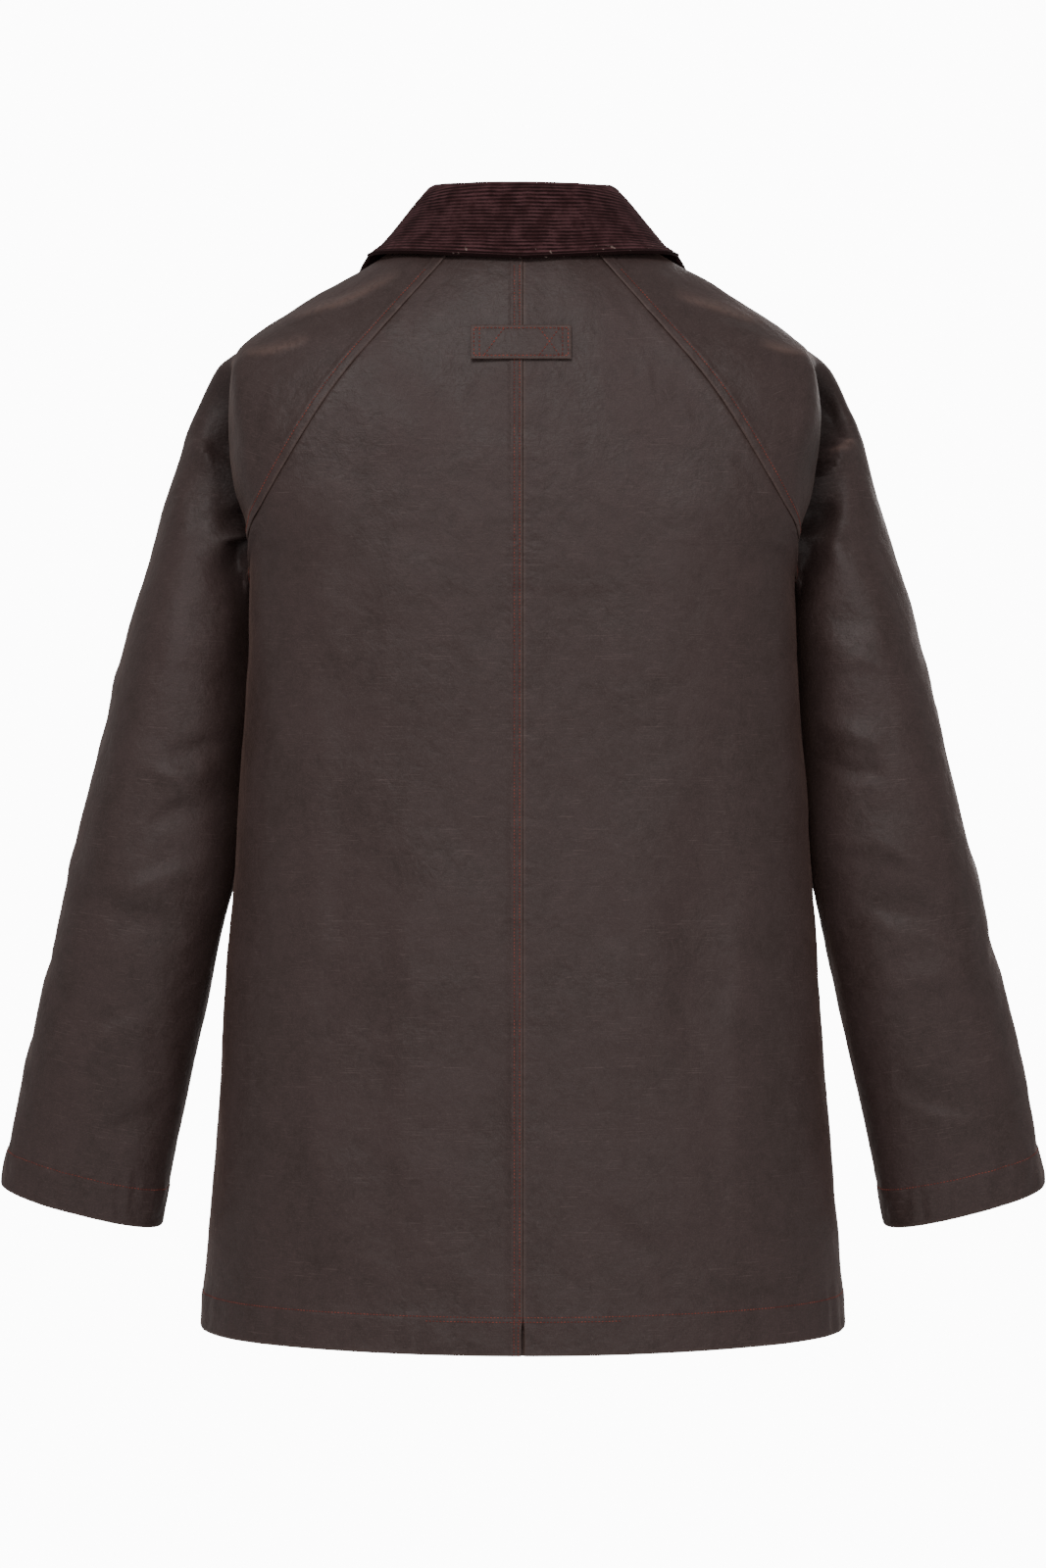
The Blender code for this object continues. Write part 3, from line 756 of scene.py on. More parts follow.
def build_sheet(name, points, wall, material, uv, values, flip):
    """An object from a grid of points, with its wall on the inner side."""
    rows, columns = points.shape[:2]
    index = np.arange(rows * columns).reshape(rows, columns)
    faces = grid_faces(index[:, ::-1] if flip else index)
    mesh = bpy.data.meshes.new(name)
    mesh.from_pydata(points.reshape(-1, 3).tolist(), [], faces)
    corners = np.zeros(len(mesh.loops), np.int32)
    mesh.loops.foreach_get("vertex_index", corners)
    layer = mesh.uv_layers.new(name="cloth")
    layer.data.foreach_set("uv", uv.reshape(-1, 2)[corners].astype(np.float32).ravel())
    for key, value in values.items():
        attribute = mesh.attributes.new(key, "FLOAT", "POINT")
        attribute.data.foreach_set("value", value.astype(np.float32).ravel())
    mesh.materials.append(material)
    mesh.shade_smooth()
    obj = bpy.data.objects.new(name, mesh)
    bpy.context.scene.collection.objects.link(obj)
    bpy.ops.object.select_all(action="DESELECT")
    bpy.context.view_layer.objects.active = obj
    obj.select_set(True)
    solidify = obj.modifiers.new("wall", "SOLIDIFY")
    solidify.thickness = wall
    solidify.offset = -1
    bpy.ops.object.modifier_apply(modifier="wall")
    obj.data.set_sharp_from_angle(angle=math.radians(50))
    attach(obj, "root")
    return obj


def build_cloth(grid, wall, material):
    uv = np.stack([grid["first"], -grid["down"][:, None] + 0 * grid["first"]], axis=-1)
    edge = np.minimum(np.minimum(np.abs(grid["first"]), grid["last"]), grid["below"])
    values = {"worn": grid["worn"], "pucker": grid["pucker"], "edge": edge / EDGE_REACH}
    name, flip = grid["name"], grid["sign"] > 0
    obj = build_sheet(name + "_cloth", grid["points"], wall, material, uv, values, flip)
    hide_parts(name)


def line_down(grid, distance, key="first", start=0, end=math.inf):
    """Points and normals down a piece at a fixed distance from its first or last edge."""
    wanted = distance if key == "first" else grid["first"][:, -1] - distance
    wanted = np.broadcast_to(wanted, len(grid["points"]))
    both = np.concatenate([grid["points"], grid["normals"]], axis=-1)
    line = [
        [np.interp(wanted[i], grid["first"][i], both[i, :, k]) for k in range(6)]
        for i, down in enumerate(grid["down"])
        if start <= down <= end
    ]
    return np.array(line)


def line_across(grid, below, end=math.inf):
    """Points and normals along a row of a piece at a fixed distance above its lower edge."""
    both = np.concatenate([grid["points"], grid["normals"]], axis=-1)
    wanted = grid["down"][-1] - below
    i = np.clip(np.searchsorted(grid["down"], wanted), 1, len(grid["down"]) - 1)
    t = (wanted - grid["down"][i - 1]) / (grid["down"][i] - grid["down"][i - 1])
    line = both[i - 1] * (1 - t) + both[i] * t
    return line[(grid["first"][i] >= 0) & (grid["first"][i] <= end)]


def stitch_frames(line, pitch):
    """The place, run, side and up directions of each stitch along a line."""
    along = lengths(line[:, :3])
    count = max(int(along[-1] / pitch), 1)
    at = (np.arange(count) + 0.5) * along[-1] / count
    middle, ahead, behind = (
        np.stack([np.interp(at + shift, along, line[:, k]) for k in range(6)], axis=-1)
        for shift in (0, pitch / 3, -pitch / 3)
    )
    run = ahead[:, :3] - behind[:, :3]
    run /= np.linalg.norm(run, axis=1, keepdims=True)
    up = middle[:, 3:]
    up = up - (up * run).sum(axis=1, keepdims=True) * run
    up /= np.linalg.norm(up, axis=1, keepdims=True)
    return middle[:, :3], run, np.cross(up, run), up


def add_stitches(name, lines, pitch, material, thread):
    """One object for all stitches along some lines, each a small rounded length of thread."""
    bpy.ops.object.select_all(action="DESELECT")
    bpy.ops.mesh.primitive_uv_sphere_add(segments=6, ring_count=5, radius=0.5)
    obj = bpy.context.object
    obj.name = name
    stitch = np.array([vertex.co for vertex in obj.data.vertices])[:, (2, 0, 1)]
    faces = [list(face.vertices) for face in obj.data.polygons]
    stitch = stitch * (pitch * 0.7, thread * 1.15, thread)
    points, polygons = [], []
    for line in lines:
        for place, run, side, up in zip(*stitch_frames(line, pitch)):
            start = len(points) * len(stitch)
            shape = stitch + (0, 0, thread * 0.2)
            points.append(place + shape[:, :1] * run + shape[:, 1:2] * side + shape[:, 2:] * up)
            polygons.extend([start + corner for corner in face] for face in faces)
    mesh = bpy.data.meshes.new(name)
    mesh.from_pydata(np.concatenate(points).tolist(), [], polygons)
    mesh.materials.append(material)
    mesh.shade_smooth()
    obj.data = mesh
    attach(obj, "root")


def linear(code):
    """A linear colour from an sRGB hex code."""
    parts = [int(code[i : i + 2], 16) / 255 for i in (0, 2, 4)]
    return (*(c / 12.92 if c <= 0.04045 else ((c + 0.055) / 1.055) ** 2.4 for c in parts), 1)


def node(tree, kind, inputs=None, **settings):
    """A shader node with its settings, and its inputs set or linked."""
    made = tree.nodes.new("ShaderNode" + kind)
    for key, value in settings.items():
        setattr(made, key, value)
    for key, value in (inputs or {}).items():
        if isinstance(value, bpy.types.NodeSocket):
            tree.links.new(value, made.inputs[key])
        else:
            made.inputs[key].default_value = value
    return made


def mixed(tree, factor, first, second, blend="MIX"):
    made = node(tree, "Mix", {0: factor, 6: first, 7: second}, data_type="RGBA", blend_type=blend)
    return made.outputs[2]


def maths(tree, operation, *values, clamp=False):
    inputs = dict(enumerate(values))
    return node(tree, "Math", inputs, operation=operation, use_clamp=clamp).outputs[0]


def times(tree, first, second):
    return maths(tree, "MULTIPLY", first, second)


def between_values(tree, value, low, high, to_low=0.0, to_high=1.0):
    """A value's place between two limits, eased."""
    inputs = {"Value": value, "From Min": low, "From Max": high}
    inputs.update({"To Min": to_low, "To Max": to_high})
    return node(tree, "MapRange", inputs, interpolation_type="SMOOTHSTEP").outputs["Result"]


def grain(
    tree, vector, size, detail=2.0, rough=0.5, stretch=(1, 1, 1), turn=(0, 0, 0), distortion=0.0
):
    """Noise whose features are about one size, in metres, stretched along some axes."""
    scale = tuple(1 / (size * s) for s in stretch)
    place = node(tree, "Mapping", {"Vector": vector, "Rotation": turn, "Scale": scale}).outputs[0]
    look = {"Scale": 1.0, "Detail": detail, "Roughness": rough, "Distortion": distortion}
    return node(tree, "TexNoise", {"Vector": place, **look}).outputs["Fac"]


def new_material(name):
    material = bpy.data.materials.new(name)
    material.use_nodes = True
    tree = material.node_tree
    return material, tree, tree.nodes["Principled BSDF"]


def value_of(tree, name):
    return node(tree, "Attribute", attribute_name=name).outputs["Fac"]


def connect(tree, shader, **inputs):
    for key, value in inputs.items():
        socket = shader.inputs[key.replace("_", " ")]
        if isinstance(value, bpy.types.NodeSocket):
            tree.links.new(value, socket)
        else:
            socket.default_value = value


def waxed_cotton(sizes):
    """Dark brown cotton proofed with wax: a satin sheen, cloudy where the wax has moved, with pale
    hair lines where it has cracked and reddish cloth where the wax has come off at edges. The same
    pale reddish colour is painted on sharp ridges as a highlight, and deep folds are darkened as
    painted shade."""
    material, tree, shader = new_material("waxed cotton")
    place = node(tree, "TexCoord").outputs["Object"]
    cloth = node(tree, "UVMap", uv_map="cloth").outputs["UV"]
    worn, pucker, edge = (value_of(tree, key) for key in ("worn", "pucker", "edge"))
    clouds = grain(tree, place, 0.055, 4.0, 0.55, distortion=0.6)
    mottle = grain(tree, place, 0.011, 4.0, 0.6, distortion=0.4)
    fine = grain(tree, place, 0.0042, 3.0, 0.7, distortion=0.5)
    dark, light, wax, crack, rubbed_and_highlight, fold_shade = (
        linear(getattr(sizes, "cloth_" + key))
        for key in ("dark", "light", "wax", "crack", "rubbed_and_highlight", "deep")
    )
    base = mixed(tree, between_values(tree, clouds, 0.35, 0.65), dark, light)
    # Wax gathered in specks and in small patches.
    base = mixed(tree, between_values(tree, fine, 0.36, 0.64, 0.0, 0.34), base, wax)
    base = mixed(tree, between_values(tree, mottle, 0.3, 0.7, 0.0, 0.42), base, wax)
    # Hair lines in a few directions, each seen only in patches.
    hairs = None
    for turn, size in ((0.5, 0.020), (-0.9, 0.015), (1.9, 0.024)):
        line = grain(tree, cloth, size, 2.0, 0.5, (1, 0.035, 1), (0, 0, turn), 0.4)
        patch = grain(tree, cloth, 0.035, 2.0, 0.5, turn=(0, 0, turn + 1.0))
        thin = between_values(tree, line, 0.62, 0.7)
        shown = times(tree, thin, between_values(tree, patch, 0.5, 0.62))
        hairs = shown if hairs is None else maths(tree, "MAXIMUM", hairs, shown)
    base = mixed(tree, times(tree, hairs, 0.3), base, crack)
    # Bare cloth along seams and turned edges, where the wax has come off, and the same colour on
    # sharp ridges as a painted highlight.
    speck = grain(tree, place, 0.0035, 3.0, 0.7)
    at_edge = maths(tree, "SUBTRACT", 1.0, between_values(tree, edge, 0.05, 0.28))
    at_edge = times(tree, at_edge, 0.15)
    wear_and_highlight = maths(tree, "MAXIMUM", times(tree, worn, 0.75), at_edge)
    wear_and_highlight = times(tree, wear_and_highlight, between_values(tree, speck, 0.3, 0.55, 0.35, 1.0))
    base = mixed(tree, wear_and_highlight, base, rubbed_and_highlight)
    # Painted shade: deep folds are darkened.
    base = mixed(tree, times(tree, worn, -0.8), base, fold_shade)
    # The weave, and the flecks that the wax leaves in it.
    weave = grain(tree, cloth, 0.0009, 1.0, 0.6)
    flecks = grain(tree, cloth, 0.0021, 3.0, 0.65)
    base = mixed(tree, between_values(tree, weave, 0.4, 0.72, 0.0, 0.12), base, crack)
    base = mixed(tree, between_values(tree, flecks, 0.54, 0.76, 0.0, 0.2), base, crack)
    base = mixed(tree, between_values(tree, flecks, 0.42, 0.26, 0.0, 0.3), base, dark)
    # Crumples, and the puckers that stitching draws in.
    look = {"Vector": place, "Scale": 60.0, "Detail": 5.0, "Roughness": 0.55}
    crumple = node(tree, "TexNoise", look, noise_type="RIDGED_MULTIFRACTAL").outputs["Fac"]
    waves = grain(tree, cloth, 0.0085, 1.0)
    waves = times(tree, waves, pucker)
    high = times(tree, crumple, 0.18)
    for layer, share in ((mottle, 0.9), (fine, 0.35), (waves, 0.7), (weave, 0.05)):
        high = maths(tree, "ADD", high, times(tree, layer, share))
    bump = node(tree, "Bump", {"Height": high, "Strength": 1.0, "Distance": 1.1 * MM})
    matt = sizes.cloth_roughness
    satin = between_values(tree, clouds, 0.3, 0.7, matt - 0.06, matt + 0.06)
    connect(tree, shader, Base_Color=base, Roughness=satin, Normal=bump.outputs[0])
    connect(tree, shader, Specular_IOR_Level=0.34, Sheen_Weight=0.2, Sheen_Roughness=0.35)
    connect(tree, shader, Sheen_Tint=linear(sizes.cloth_sheen))
    return material


def corduroy(sizes):
    """Red-brown cotton corduroy: soft pile ribs with painted shade in the grooves between them, and
    paler specks near the edge where the pile has gone bare.
    """
    material, tree, shader = new_material("cotton corduroy")
    cloth = node(tree, "UVMap", uv_map="cloth").outputs["UV"]
    place = node(tree, "TexCoord").outputs["Object"]
    rib = value_of(tree, "rib")
    pile = grain(tree, cloth, 0.0014, 3.0, 0.7, (1, 0.5, 1))
    nap = grain(tree, place, 0.012, 3.0, 0.6)
    dark, light = linear(sizes.pile_dark), linear(sizes.pile_light)
    top = mixed(tree, between_values(tree, nap, 0.35, 0.65), dark, light)
    tuft = maths(tree, "ADD", rib, times(tree, pile, 0.5))
    # Painted shade in the grooves between the ribs.
    base = mixed(tree, between_values(tree, tuft, 0.5, 1.1), linear(sizes.pile_groove_shade), top)
    bare = between_values(tree, grain(tree, place, 0.0045), 0.68, 0.76)
    bare = times(tree, bare, value_of(tree, "worn"))
    base = mixed(tree, bare, base, linear(sizes.pile_worn))
    bump = node(tree, "Bump", {"Height": pile, "Strength": 0.8, "Distance": 0.5 * MM})
    connect(tree, shader, Base_Color=base, Roughness=0.95, Normal=bump.outputs[0])
    connect(tree, shader, Specular_IOR_Level=0.2, Sheen_Weight=0.35, Sheen_Roughness=0.45)
    connect(tree, shader, Sheen_Tint=light)
    return material


def polyester_thread(sizes):
    """Spun polyester sewing thread, rust coloured and slightly shiny."""
    material, tree, shader = new_material("sewing thread")
    place = node(tree, "TexCoord").outputs["Object"]
    tone = between_values(tree, grain(tree, place, 0.006), 0.35, 0.65)
    base = mixed(tree, tone, linear(sizes.thread_dark), linear(sizes.thread_light))
    connect(tree, shader, Base_Color=base, Roughness=0.6)
    return material


def aged_brass(sizes):
    """Brass snap studs, dulled and brown in the hollows."""
    material, tree, shader = new_material("aged brass")
    place = node(tree, "TexCoord").outputs["Object"]
    tone = between_values(tree, grain(tree, place, 0.004, 4.0, 0.6), 0.35, 0.65)
    base = mixed(tree, tone, linear(sizes.brass_dark), linear(sizes.brass_light))
    connect(tree, shader, Base_Color=base, Roughness=0.42, Metallic=1.0)
    return material


def neck_seam():
    """The neck seam's height at each turn round the neck, from centre front to centre back."""
    front, back = raglan_line("front", 0), raglan_line("back", 0)
    line = np.concatenate([front, arch_line(0)[::-1], back[::-1]])
    return np.arctan2(line[:, 1], line[:, 0]), line[:, 2]


def collar_section(turn, seam_line):
    """The collar's visible side at one place: up inside the neck, over the fold, down the fall."""
    column = {key: smooth(COLLAR["neck_turn"], values, turn) for key, values in COLLAR.items()}
    neck = math.radians(turn)
    seam = body_point(neck, np.interp(neck, *seam_line)) + (0, 0, COLLAR_GAP)
    out = np.array([math.cos(neck), math.sin(neck), 0])
    fold = seam + out * column["out"] + (0, 0, column["rise"])
    edge = body_point(math.radians(column["edge_turn"]), column["edge_height"])
    edge = edge + body_normal(edge[None])[0] * (CORDUROY + column["lift"])
    inner_top = fold - out * FOLD_RADIUS - (0, 0, FOLD_RADIUS)
    outer_top = fold + out * FOLD_RADIUS - (0, 0, FOLD_RADIUS)
    fall = [outer_top + (edge - outer_top) * share for share in (0.33, 0.66, 1)]
    return np.array([seam, (seam + inner_top) / 2, inner_top, fold, outer_top, *fall])


def curve_through(points, per_step):
    """A smooth line through a few points."""
    stations = lengths(points)
    steps = np.arange((len(points) - 1) * per_step + 1) / per_step
    at = np.interp(steps, np.arange(len(points)), stations)
    return between(points[:, None], stations, at)[:, 0]


def collar_grid():
    """The collar, from its right front end to its left. Its ribs follow its lower edge."""
    seam_line = neck_seam()
    turns = np.linspace(COLLAR["neck_turn"][0], 90, COLLAR_COLUMNS + 1)
    half = []
    fall = np.arange(0, FALL_RIBS * RIB_SAMPLES + 1) * RIB / RIB_SAMPLES
    for turn in turns:
        line = curve_through(collar_section(turn, seam_line), 30)[::-1]
        along = lengths(line)
        rest = np.linspace(fall[-1], along[-1], INNER_SAMPLES + 1)[1:]
        at = np.concatenate([fall, rest])
        half.append(np.stack([*(np.interp(at, along, line[:, k]) for k in range(3)), at], axis=-1))
    half = np.array(half)
    half[-1, :, 0] = 0
    whole = np.concatenate([half[:-1] * (-1, 1, 1, 1), half[::-1]])
    free = ease(whole[..., 3], 0, 14 * MM) * ease(whole[:, -1:, 3] - whole[..., 3], 0, 20 * MM)
    whole[..., :3] = softened(whole[..., :3], free, 70)
    points, across = whole[..., :3], whole[..., 3]
    normals = outward(points, -1)
    along = np.cumsum(np.linalg.norm(np.diff(points[:, 0], axis=0, prepend=points[:1, 0]), axis=1))
    end = np.minimum(along, along[-1] - along)[:, None] + 0 * across
    waver = 0.25 * lumps(points, 0.03, 77) + 0.12 * lumps(points, 0.008, 78)
    phase = across / RIB + waver * ease(across, 0.5 * RIB, 3 * RIB)
    rib = np.abs(np.sin(math.pi * phase)) ** 0.7
    tufts = 1 + 0.22 * lumps(points, 0.005, 79)
    height = RIB_HEIGHT * (rib * tufts - 0.5)
    swells = 0.9 * lumps(points, 0.05, 80) + 0.3 * lumps(points, 0.018, 81)
    height += MM * swells * ease(across, 0, 12 * MM)
    height -= 0.9 * MM * fade(np.minimum(across, end), 0, 1.8 * MM)
    points = points + normals * height[..., None]
    uv = np.stack([along[:, None] + 0 * across, across], axis=-1)
    worn = fade(across, 2 * MM, 9 * MM)
    return points, uv, {"rib": rib * tufts, "worn": worn}


def patch_points(across, down, side, lift, swells):
    """The points and normals of a patch laid over the back (side 1) or the front (side -1)."""
    points = body_at(across, down, side)
    normals = body_normal(points.reshape(-1, 3)).reshape(points.shape)
    points = points + normals * (LAY_GAP + PATCH + lift[..., None])
    soft = sum(rise * lumps(points, size, seed) for rise, size, seed in swells)
    return points + normals * (soft * MM)[..., None], normals


def inset_lines(points, normals, xs, heights, paths):
    """Lines of points and normals along paths over a patch."""
    both = np.concatenate([points, normals], axis=-1)
    lines = []
    for ends in paths:
        path = np.linspace(*np.array(ends), 60)
        column = np.interp(path[:, 0], xs[::-1], np.arange(len(xs))[::-1])
        row = np.interp(-path[:, 1], -heights, np.arange(len(heights)))
        i = np.minimum(row.astype(int), len(heights) - 2)
        j = np.minimum(column.astype(int), len(xs) - 2)
        s, t = (row - i)[:, None], (column - j)[:, None]
        upper = both[i, j] * (1 - t) + both[i, j + 1] * t
        lower = both[i + 1, j] * (1 - t) + both[i + 1, j + 1] * t
        lines.append(upper * (1 - s) + lower * s)
    return lines


def length(name, description, millimetres, low, high):
    return bpy.props.FloatProperty(
        name=name,
        description=description,
        default=millimetres * MM,
        min=low * MM,
        max=high * MM,
        unit="LENGTH",
    )


def colour(name, description, code):
    return bpy.props.StringProperty(
        name=name, description="sRGB hex colour " + description, default=code
    )


class JacketSettings(bpy.types.PropertyGroup):
    """Sizes and colours of the jacket's cloth."""

    wall: length("Cloth thickness", "Wall of the waxed cotton panels", 1.6, 0.5, 4)
    cell: length("Cell", "Distance between the grid lines of a panel", 3.2, 2, 20)
    stitch: length("Stitch length", "Distance from one stitch to the next", 2.3, 1, 6)
    cloth_roughness: bpy.props.FloatProperty(
        name="Cloth roughness",
        description="How matt the waxed cotton is",
        default=0.56,
        min=0,
        max=1,
    )
    cloth_dark: colour("Cloth, dark", "of the cloth where the wax is thick", "3b2d2a")
    cloth_light: colour("Cloth, light", "of the cloth where the wax is thin", "433432")
    cloth_wax: colour("Wax patches", "of cloudy wax", "4d3d3b")
    cloth_sheen: colour("Cloth sheen", "of the cloth's fuzz seen edge on", "c09a8c")
    # Painted shade: the colour that deep folds are darkened towards.
    cloth_deep: colour("Cloth, deep", "of the cloth down in its folds", "241a18")
    cloth_crack: colour("Cracked wax", "of hair lines in the wax", "75625f")
    # Bare cloth at edges, and the painted highlight on sharp ridges.
    cloth_rubbed_and_highlight: colour("Rubbed cloth", "where the wax has worn off", "8a6e64")
    pile_dark: colour("Pile, dark", "of the corduroy's ribs", "452729")
    pile_light: colour("Pile, light", "of its brushed ribs", "603d40")
    # Painted shade between the ribs.
    pile_groove_shade: colour("Grooves", "between its ribs", "1d0b0b")
    pile_worn: colour("Worn pile", "of its bare specks", "9a857c")
    thread_dark: colour("Thread, dark", "of the thread where it is waxed", "6c2c24")
    thread_light: colour("Thread, light", "of the thread", "96493c")
    brass_dark: colour("Brass, dark", "of the brass in its hollows", "6b4f2c")
    brass_light: colour("Brass, light", "of the brass where it is rubbed", "a8854f")


def settings():
    return bpy.context.scene.jacket


def material_for(kind):
    """The material of one kind, made the first time that it is asked for."""
    return bpy.data.materials.get(MATERIALS[kind][0]) or MATERIALS[kind][1](settings())


MATERIALS = {
    "cloth": ("waxed cotton", waxed_cotton),
    "pile": ("cotton corduroy", corduroy),
    "thread": ("sewing thread", polyester_thread),
    "brass": ("aged brass", aged_brass),
}


class AddPanels(bpy.types.Operator):
    """Add the two back panels and the two fronts"""

    bl_idname = "jacket.panels"
    bl_label = "Back and Front Panels"

    def execute(self, context):
        sizes = settings()
        for face in ("back", "front"):
            wider, middle = GRIDS[face]
            for side in (1, -1):
                grid = panel_grid(face, side, sizes.cell * wider, middle)
                build_cloth(grid, sizes.wall, material_for("cloth"))
        return {"FINISHED"}


class AddSleeves(bpy.types.Operator):
    """Add the two raglan sleeves"""

    bl_idname = "jacket.sleeves"
    bl_label = "Raglan Sleeves"

    def execute(self, context):
        sizes = settings()
        wider, middle = GRIDS["sleeve"]
        for side in (1, -1):
            grid = sleeve_grid(side, sizes.cell * wider, middle)
            build_cloth(grid, sizes.wall, material_for("cloth"))
        return {"FINISHED"}


class AddCollar(bpy.types.Operator):
    """Add the corduroy collar with its ribs"""

    bl_idname = "jacket.collar"
    bl_label = "Corduroy Collar"

    def execute(self, context):
        points, uv, values = collar_grid()
        pile = material_for("pile")
        obj = build_sheet("collar_corduroy", points, CORDUROY, pile, uv, values, False)
        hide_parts("collar")
        return {"FINISHED"}


class AddTab(bpy.types.Operator):
    """Add the small patch below the collar at the centre back"""

    bl_idname = "jacket.tab"
    bl_label = "Back Tab"

    def execute(self, context):
        xs = np.linspace(TAB_LEFT, TAB_RIGHT, 85)
        heights = np.linspace(TAB_TOP, TAB_BOTTOM, 37)
        across, down = np.meshgrid(xs, heights)
        to_side = np.minimum(TAB_LEFT - across, across - TAB_RIGHT)
        to_end = np.minimum(TAB_TOP - down, down - TAB_BOTTOM)
        border = np.minimum(to_side, to_end)
        lift = 0.7 * MM - 0.5 * MM * fade(border, 0, 0.8 * MM)
        lift -= 0.22 * MM * ridge(border, TAB_BORDER, 0.6 * MM)
        swells = (0.25, 0.014, 90), (0.1, 0.006, 91)
        points, normals = patch_points(across, down, 1, lift, swells)
        uv = np.stack([TAB_LEFT - across, down], axis=-1)
        values = {"worn": 0 * down, "pucker": 0.5 + 0 * down, "edge": border / EDGE_REACH}
        cloth = material_for("cloth")
        obj = build_sheet("back_tab_cloth", points, PATCH, cloth, uv, values, False)
        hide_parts("back_tab")
        left, right = TAB_LEFT - TAB_BORDER, TAB_RIGHT + TAB_BORDER
        top, bottom = TAB_TOP - TAB_BORDER, TAB_BOTTOM + TAB_BORDER
        inner_left, inner_right = TAB_LEFT - TAB_INNER, TAB_RIGHT + TAB_INNER
        paths = [
            [(left, top), (right, top)],
            [(right, top), (right, bottom)],
            [(right, bottom), (left, bottom)],
            [(left, bottom), (left, top)],
            [(inner_left, top), (inner_left, bottom)],
            [(inner_right, top), (inner_right, bottom)],
            [(inner_left - 3 * MM, bottom), (inner_left - 17 * MM, top)],
            [(inner_right + 2 * MM, top), (inner_right + 16 * MM, bottom)],
            [(inner_right + 2 * MM, bottom), (inner_right + 16 * MM, top)],
        ]
        grids["tab_lines"] = inset_lines(points, normals, xs, heights, paths)
        return {"FINISHED"}


class AddFly(bpy.types.Operator):
    """Add the strip that covers the front closing"""

    bl_idname = "jacket.fly"
    bl_label = "Front Fly"

    def execute(self, context):
        xs = np.linspace(FLY_HALF_WIDTH, -FLY_HALF_WIDTH, 33)
        heights = np.linspace(RAGLAN["front_edge"][1], HEM_BACK, 240)
        across, down = np.meshgrid(xs, heights)
        border = np.minimum(FLY_HALF_WIDTH - np.abs(across), down - HEM_BACK)
        lift = 0.6 * MM + 0.6 * MM * ease(border, 0, 3 * MM)
        lift -= 0.5 * MM * ridge(border, FLY_BORDER, 1 * MM)
        swells = (0.72, 0.05, 95), (0.32, 0.02, 96)
        points, normals = patch_points(across, down, -1, lift, swells)
        uv = np.stack([across, down], axis=-1)
        pucker = fade(border, 5 * MM, 12 * MM)
        values = {"worn": 0.2 + 0 * down, "pucker": pucker, "edge": border / EDGE_REACH}
        cloth = material_for("cloth")
        obj = build_sheet("front_fly_cloth", points, PATCH, cloth, uv, values, True)
        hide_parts("front_fly")
        side = FLY_HALF_WIDTH - FLY_BORDER
        top, bottom = heights[0], heights[-1]
        paths = [[(side, top), (side, bottom)], [(-side, top), (-side, bottom)]]
        grids["fly_lines"] = inset_lines(points, normals, xs, heights, paths)
        return {"FINISHED"}


class AddStitching(bpy.types.Operator):
    """Add the stitches of all seams, turns and patches"""

    bl_idname = "jacket.stitching"
    bl_label = "Stitching"

    def execute(self, context):
        sizes = settings()
        back = grids["back_left"]
        lines = [line_down(back, row, start=30 * MM) for row in SEAM_ROWS]
        for name in ("back_left", "back_right", "front_left", "front_right"):
            lines.append(line_across(grids[name], HEM_TURN))
        for name in ("back_left", "back_right"):
            lines.append(line_across(grids[name], HEM_TURN - HEM_SECOND, HEM_SECOND_END))
        for name in ("sleeve_left", "sleeve_right"):
            sleeve = grids[name]
            top, bottom = 34 * MM, seam_stations()[-1] - 8 * MM
            lines.append(line_down(sleeve, RAGLAN_ROW, "first", top, bottom))
            lines.append(line_down(sleeve, RAGLAN_ROW, "last", top, bottom))
            lines.append(line_across(sleeve, CUFF_TURN))
        thread = material_for("thread")
        add_stitches("stitching", lines, sizes.stitch, thread, THREAD)
        patches = grids["tab_lines"] + grids["fly_lines"]
        add_stitches("patch_stitching", patches, sizes.stitch * 1.15, thread, THREAD * 1.1)
        return {"FINISHED"}


class AddStuds(bpy.types.Operator):
    """Give the snap studs down the front their brass"""

    bl_idname = "jacket.studs"
    bl_label = "Snap Studs"

    def execute(self, context):
        for number in range(1, STUD_COUNT + 1):
            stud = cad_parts[f"front_stud_{number}"]
            stud.data.materials.clear()
            stud.data.materials.append(material_for("brass"))
        return {"FINISHED"}


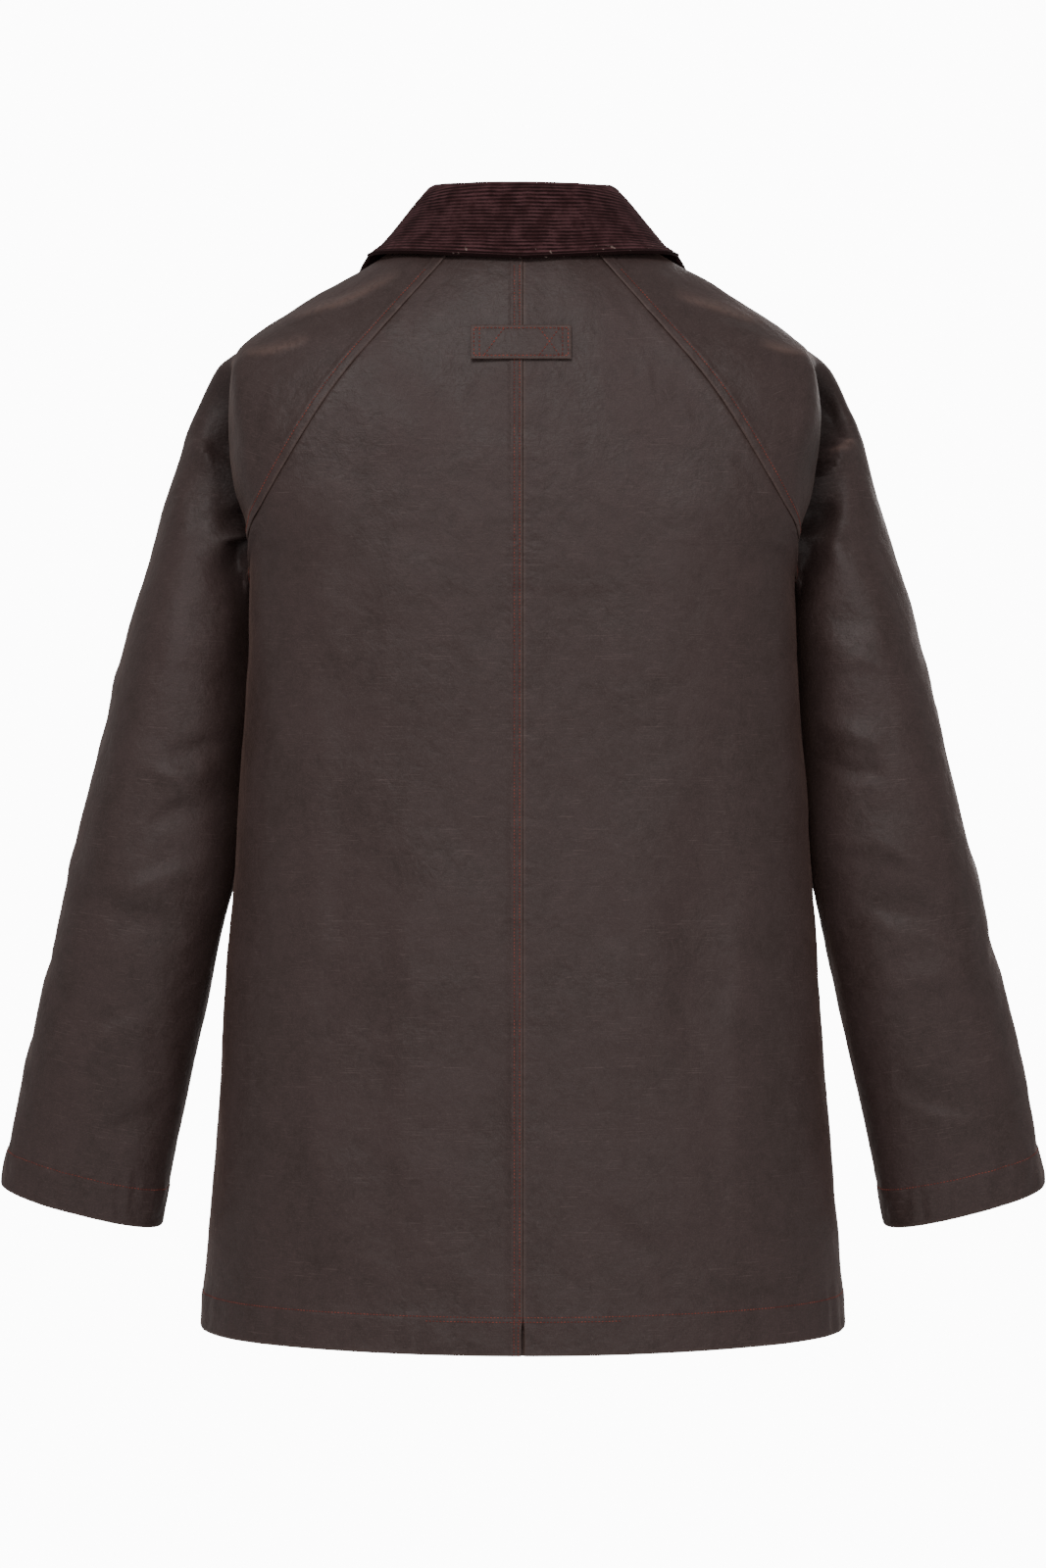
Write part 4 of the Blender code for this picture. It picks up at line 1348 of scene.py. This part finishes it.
class AddStage(bpy.types.Operator):
    """Add the floor, the light and the camera"""

    bl_idname = "jacket.stage"
    bl_label = "Stage"

    def execute(self, context):
        bpy.ops.object.select_all(action="DESELECT")
        bpy.ops.mesh.primitive_circle_add(
            vertices=96, radius=FLOOR_RADIUS, fill_type="NGON", location=(0, 0, FLOOR)
        )
        floor = bpy.context.object
        floor.name = "floor"
        material, tree, shader = new_material("pale floor")
        connect(tree, shader, Base_Color=linear("f2f2f2"), Roughness=0.9)
        floor.data.materials.append(material)
        world = bpy.data.worlds.new("studio")
        world.use_nodes = True
        # The white backdrop shows bright, and lights the jacket less than it shows.
        seen = node(world.node_tree, "LightPath").outputs["Is Camera Ray"]
        strength = between_values(world.node_tree, seen, 0.0, 1.0, SKY_LIGHT, SKY_SHOWN)
        background = world.node_tree.nodes["Background"]
        background.inputs["Color"].default_value = linear("ffffff")
        world.node_tree.links.new(strength, background.inputs["Strength"])
        context.scene.world = world
        for name, place, aim, size, power in LIGHTS:
            bpy.ops.object.light_add(type="AREA", location=place)
            light = context.object
            light.name = name
            light.data.shape = "DISK"
            light.data.size = size
            light.data.energy = power
            light.rotation_euler = (Vector(place) - Vector(aim)).to_track_quat("Z", "Y").to_euler()
        bpy.ops.object.camera_add(location=CAMERA, rotation=(math.pi / 2, 0, math.pi))
        camera = context.object
        camera.data.sensor_fit = "VERTICAL"
        camera.data.sensor_height = 36
        camera.data.lens = 36 * CAMERA[1] / VIEW_HEIGHT
        context.scene.camera = camera
        return {"FINISHED"}


class JacketPanel(bpy.types.Panel):
    """The jacket's settings and steps"""

    bl_idname = "VIEW3D_PT_jacket"
    bl_label = "Waxed Jacket"
    bl_space_type = "VIEW_3D"
    bl_region_type = "UI"
    bl_category = "Jacket"

    def draw(self, context):
        for key in JacketSettings.__annotations__:
            self.layout.prop(settings(), key)
        for step in STEPS:
            self.layout.operator(step.bl_idname)


STEPS = (AddPanels, AddSleeves, AddCollar, AddTab, AddFly, AddStitching, AddStuds, AddStage)


def register():
    for cls in (JacketSettings, *STEPS, JacketPanel):
        bpy.utils.register_class(cls)
    bpy.types.Scene.jacket = bpy.props.PointerProperty(type=JacketSettings)


def unregister():
    del bpy.types.Scene.jacket
    for cls in (JacketPanel, *reversed(STEPS), JacketSettings):
        bpy.utils.unregister_class(cls)


def main():
    register()
    for step in STEPS:
        group, name = step.bl_idname.split(".")
        getattr(getattr(bpy.ops, group), name)()


if __name__ == "__main__":
    main()
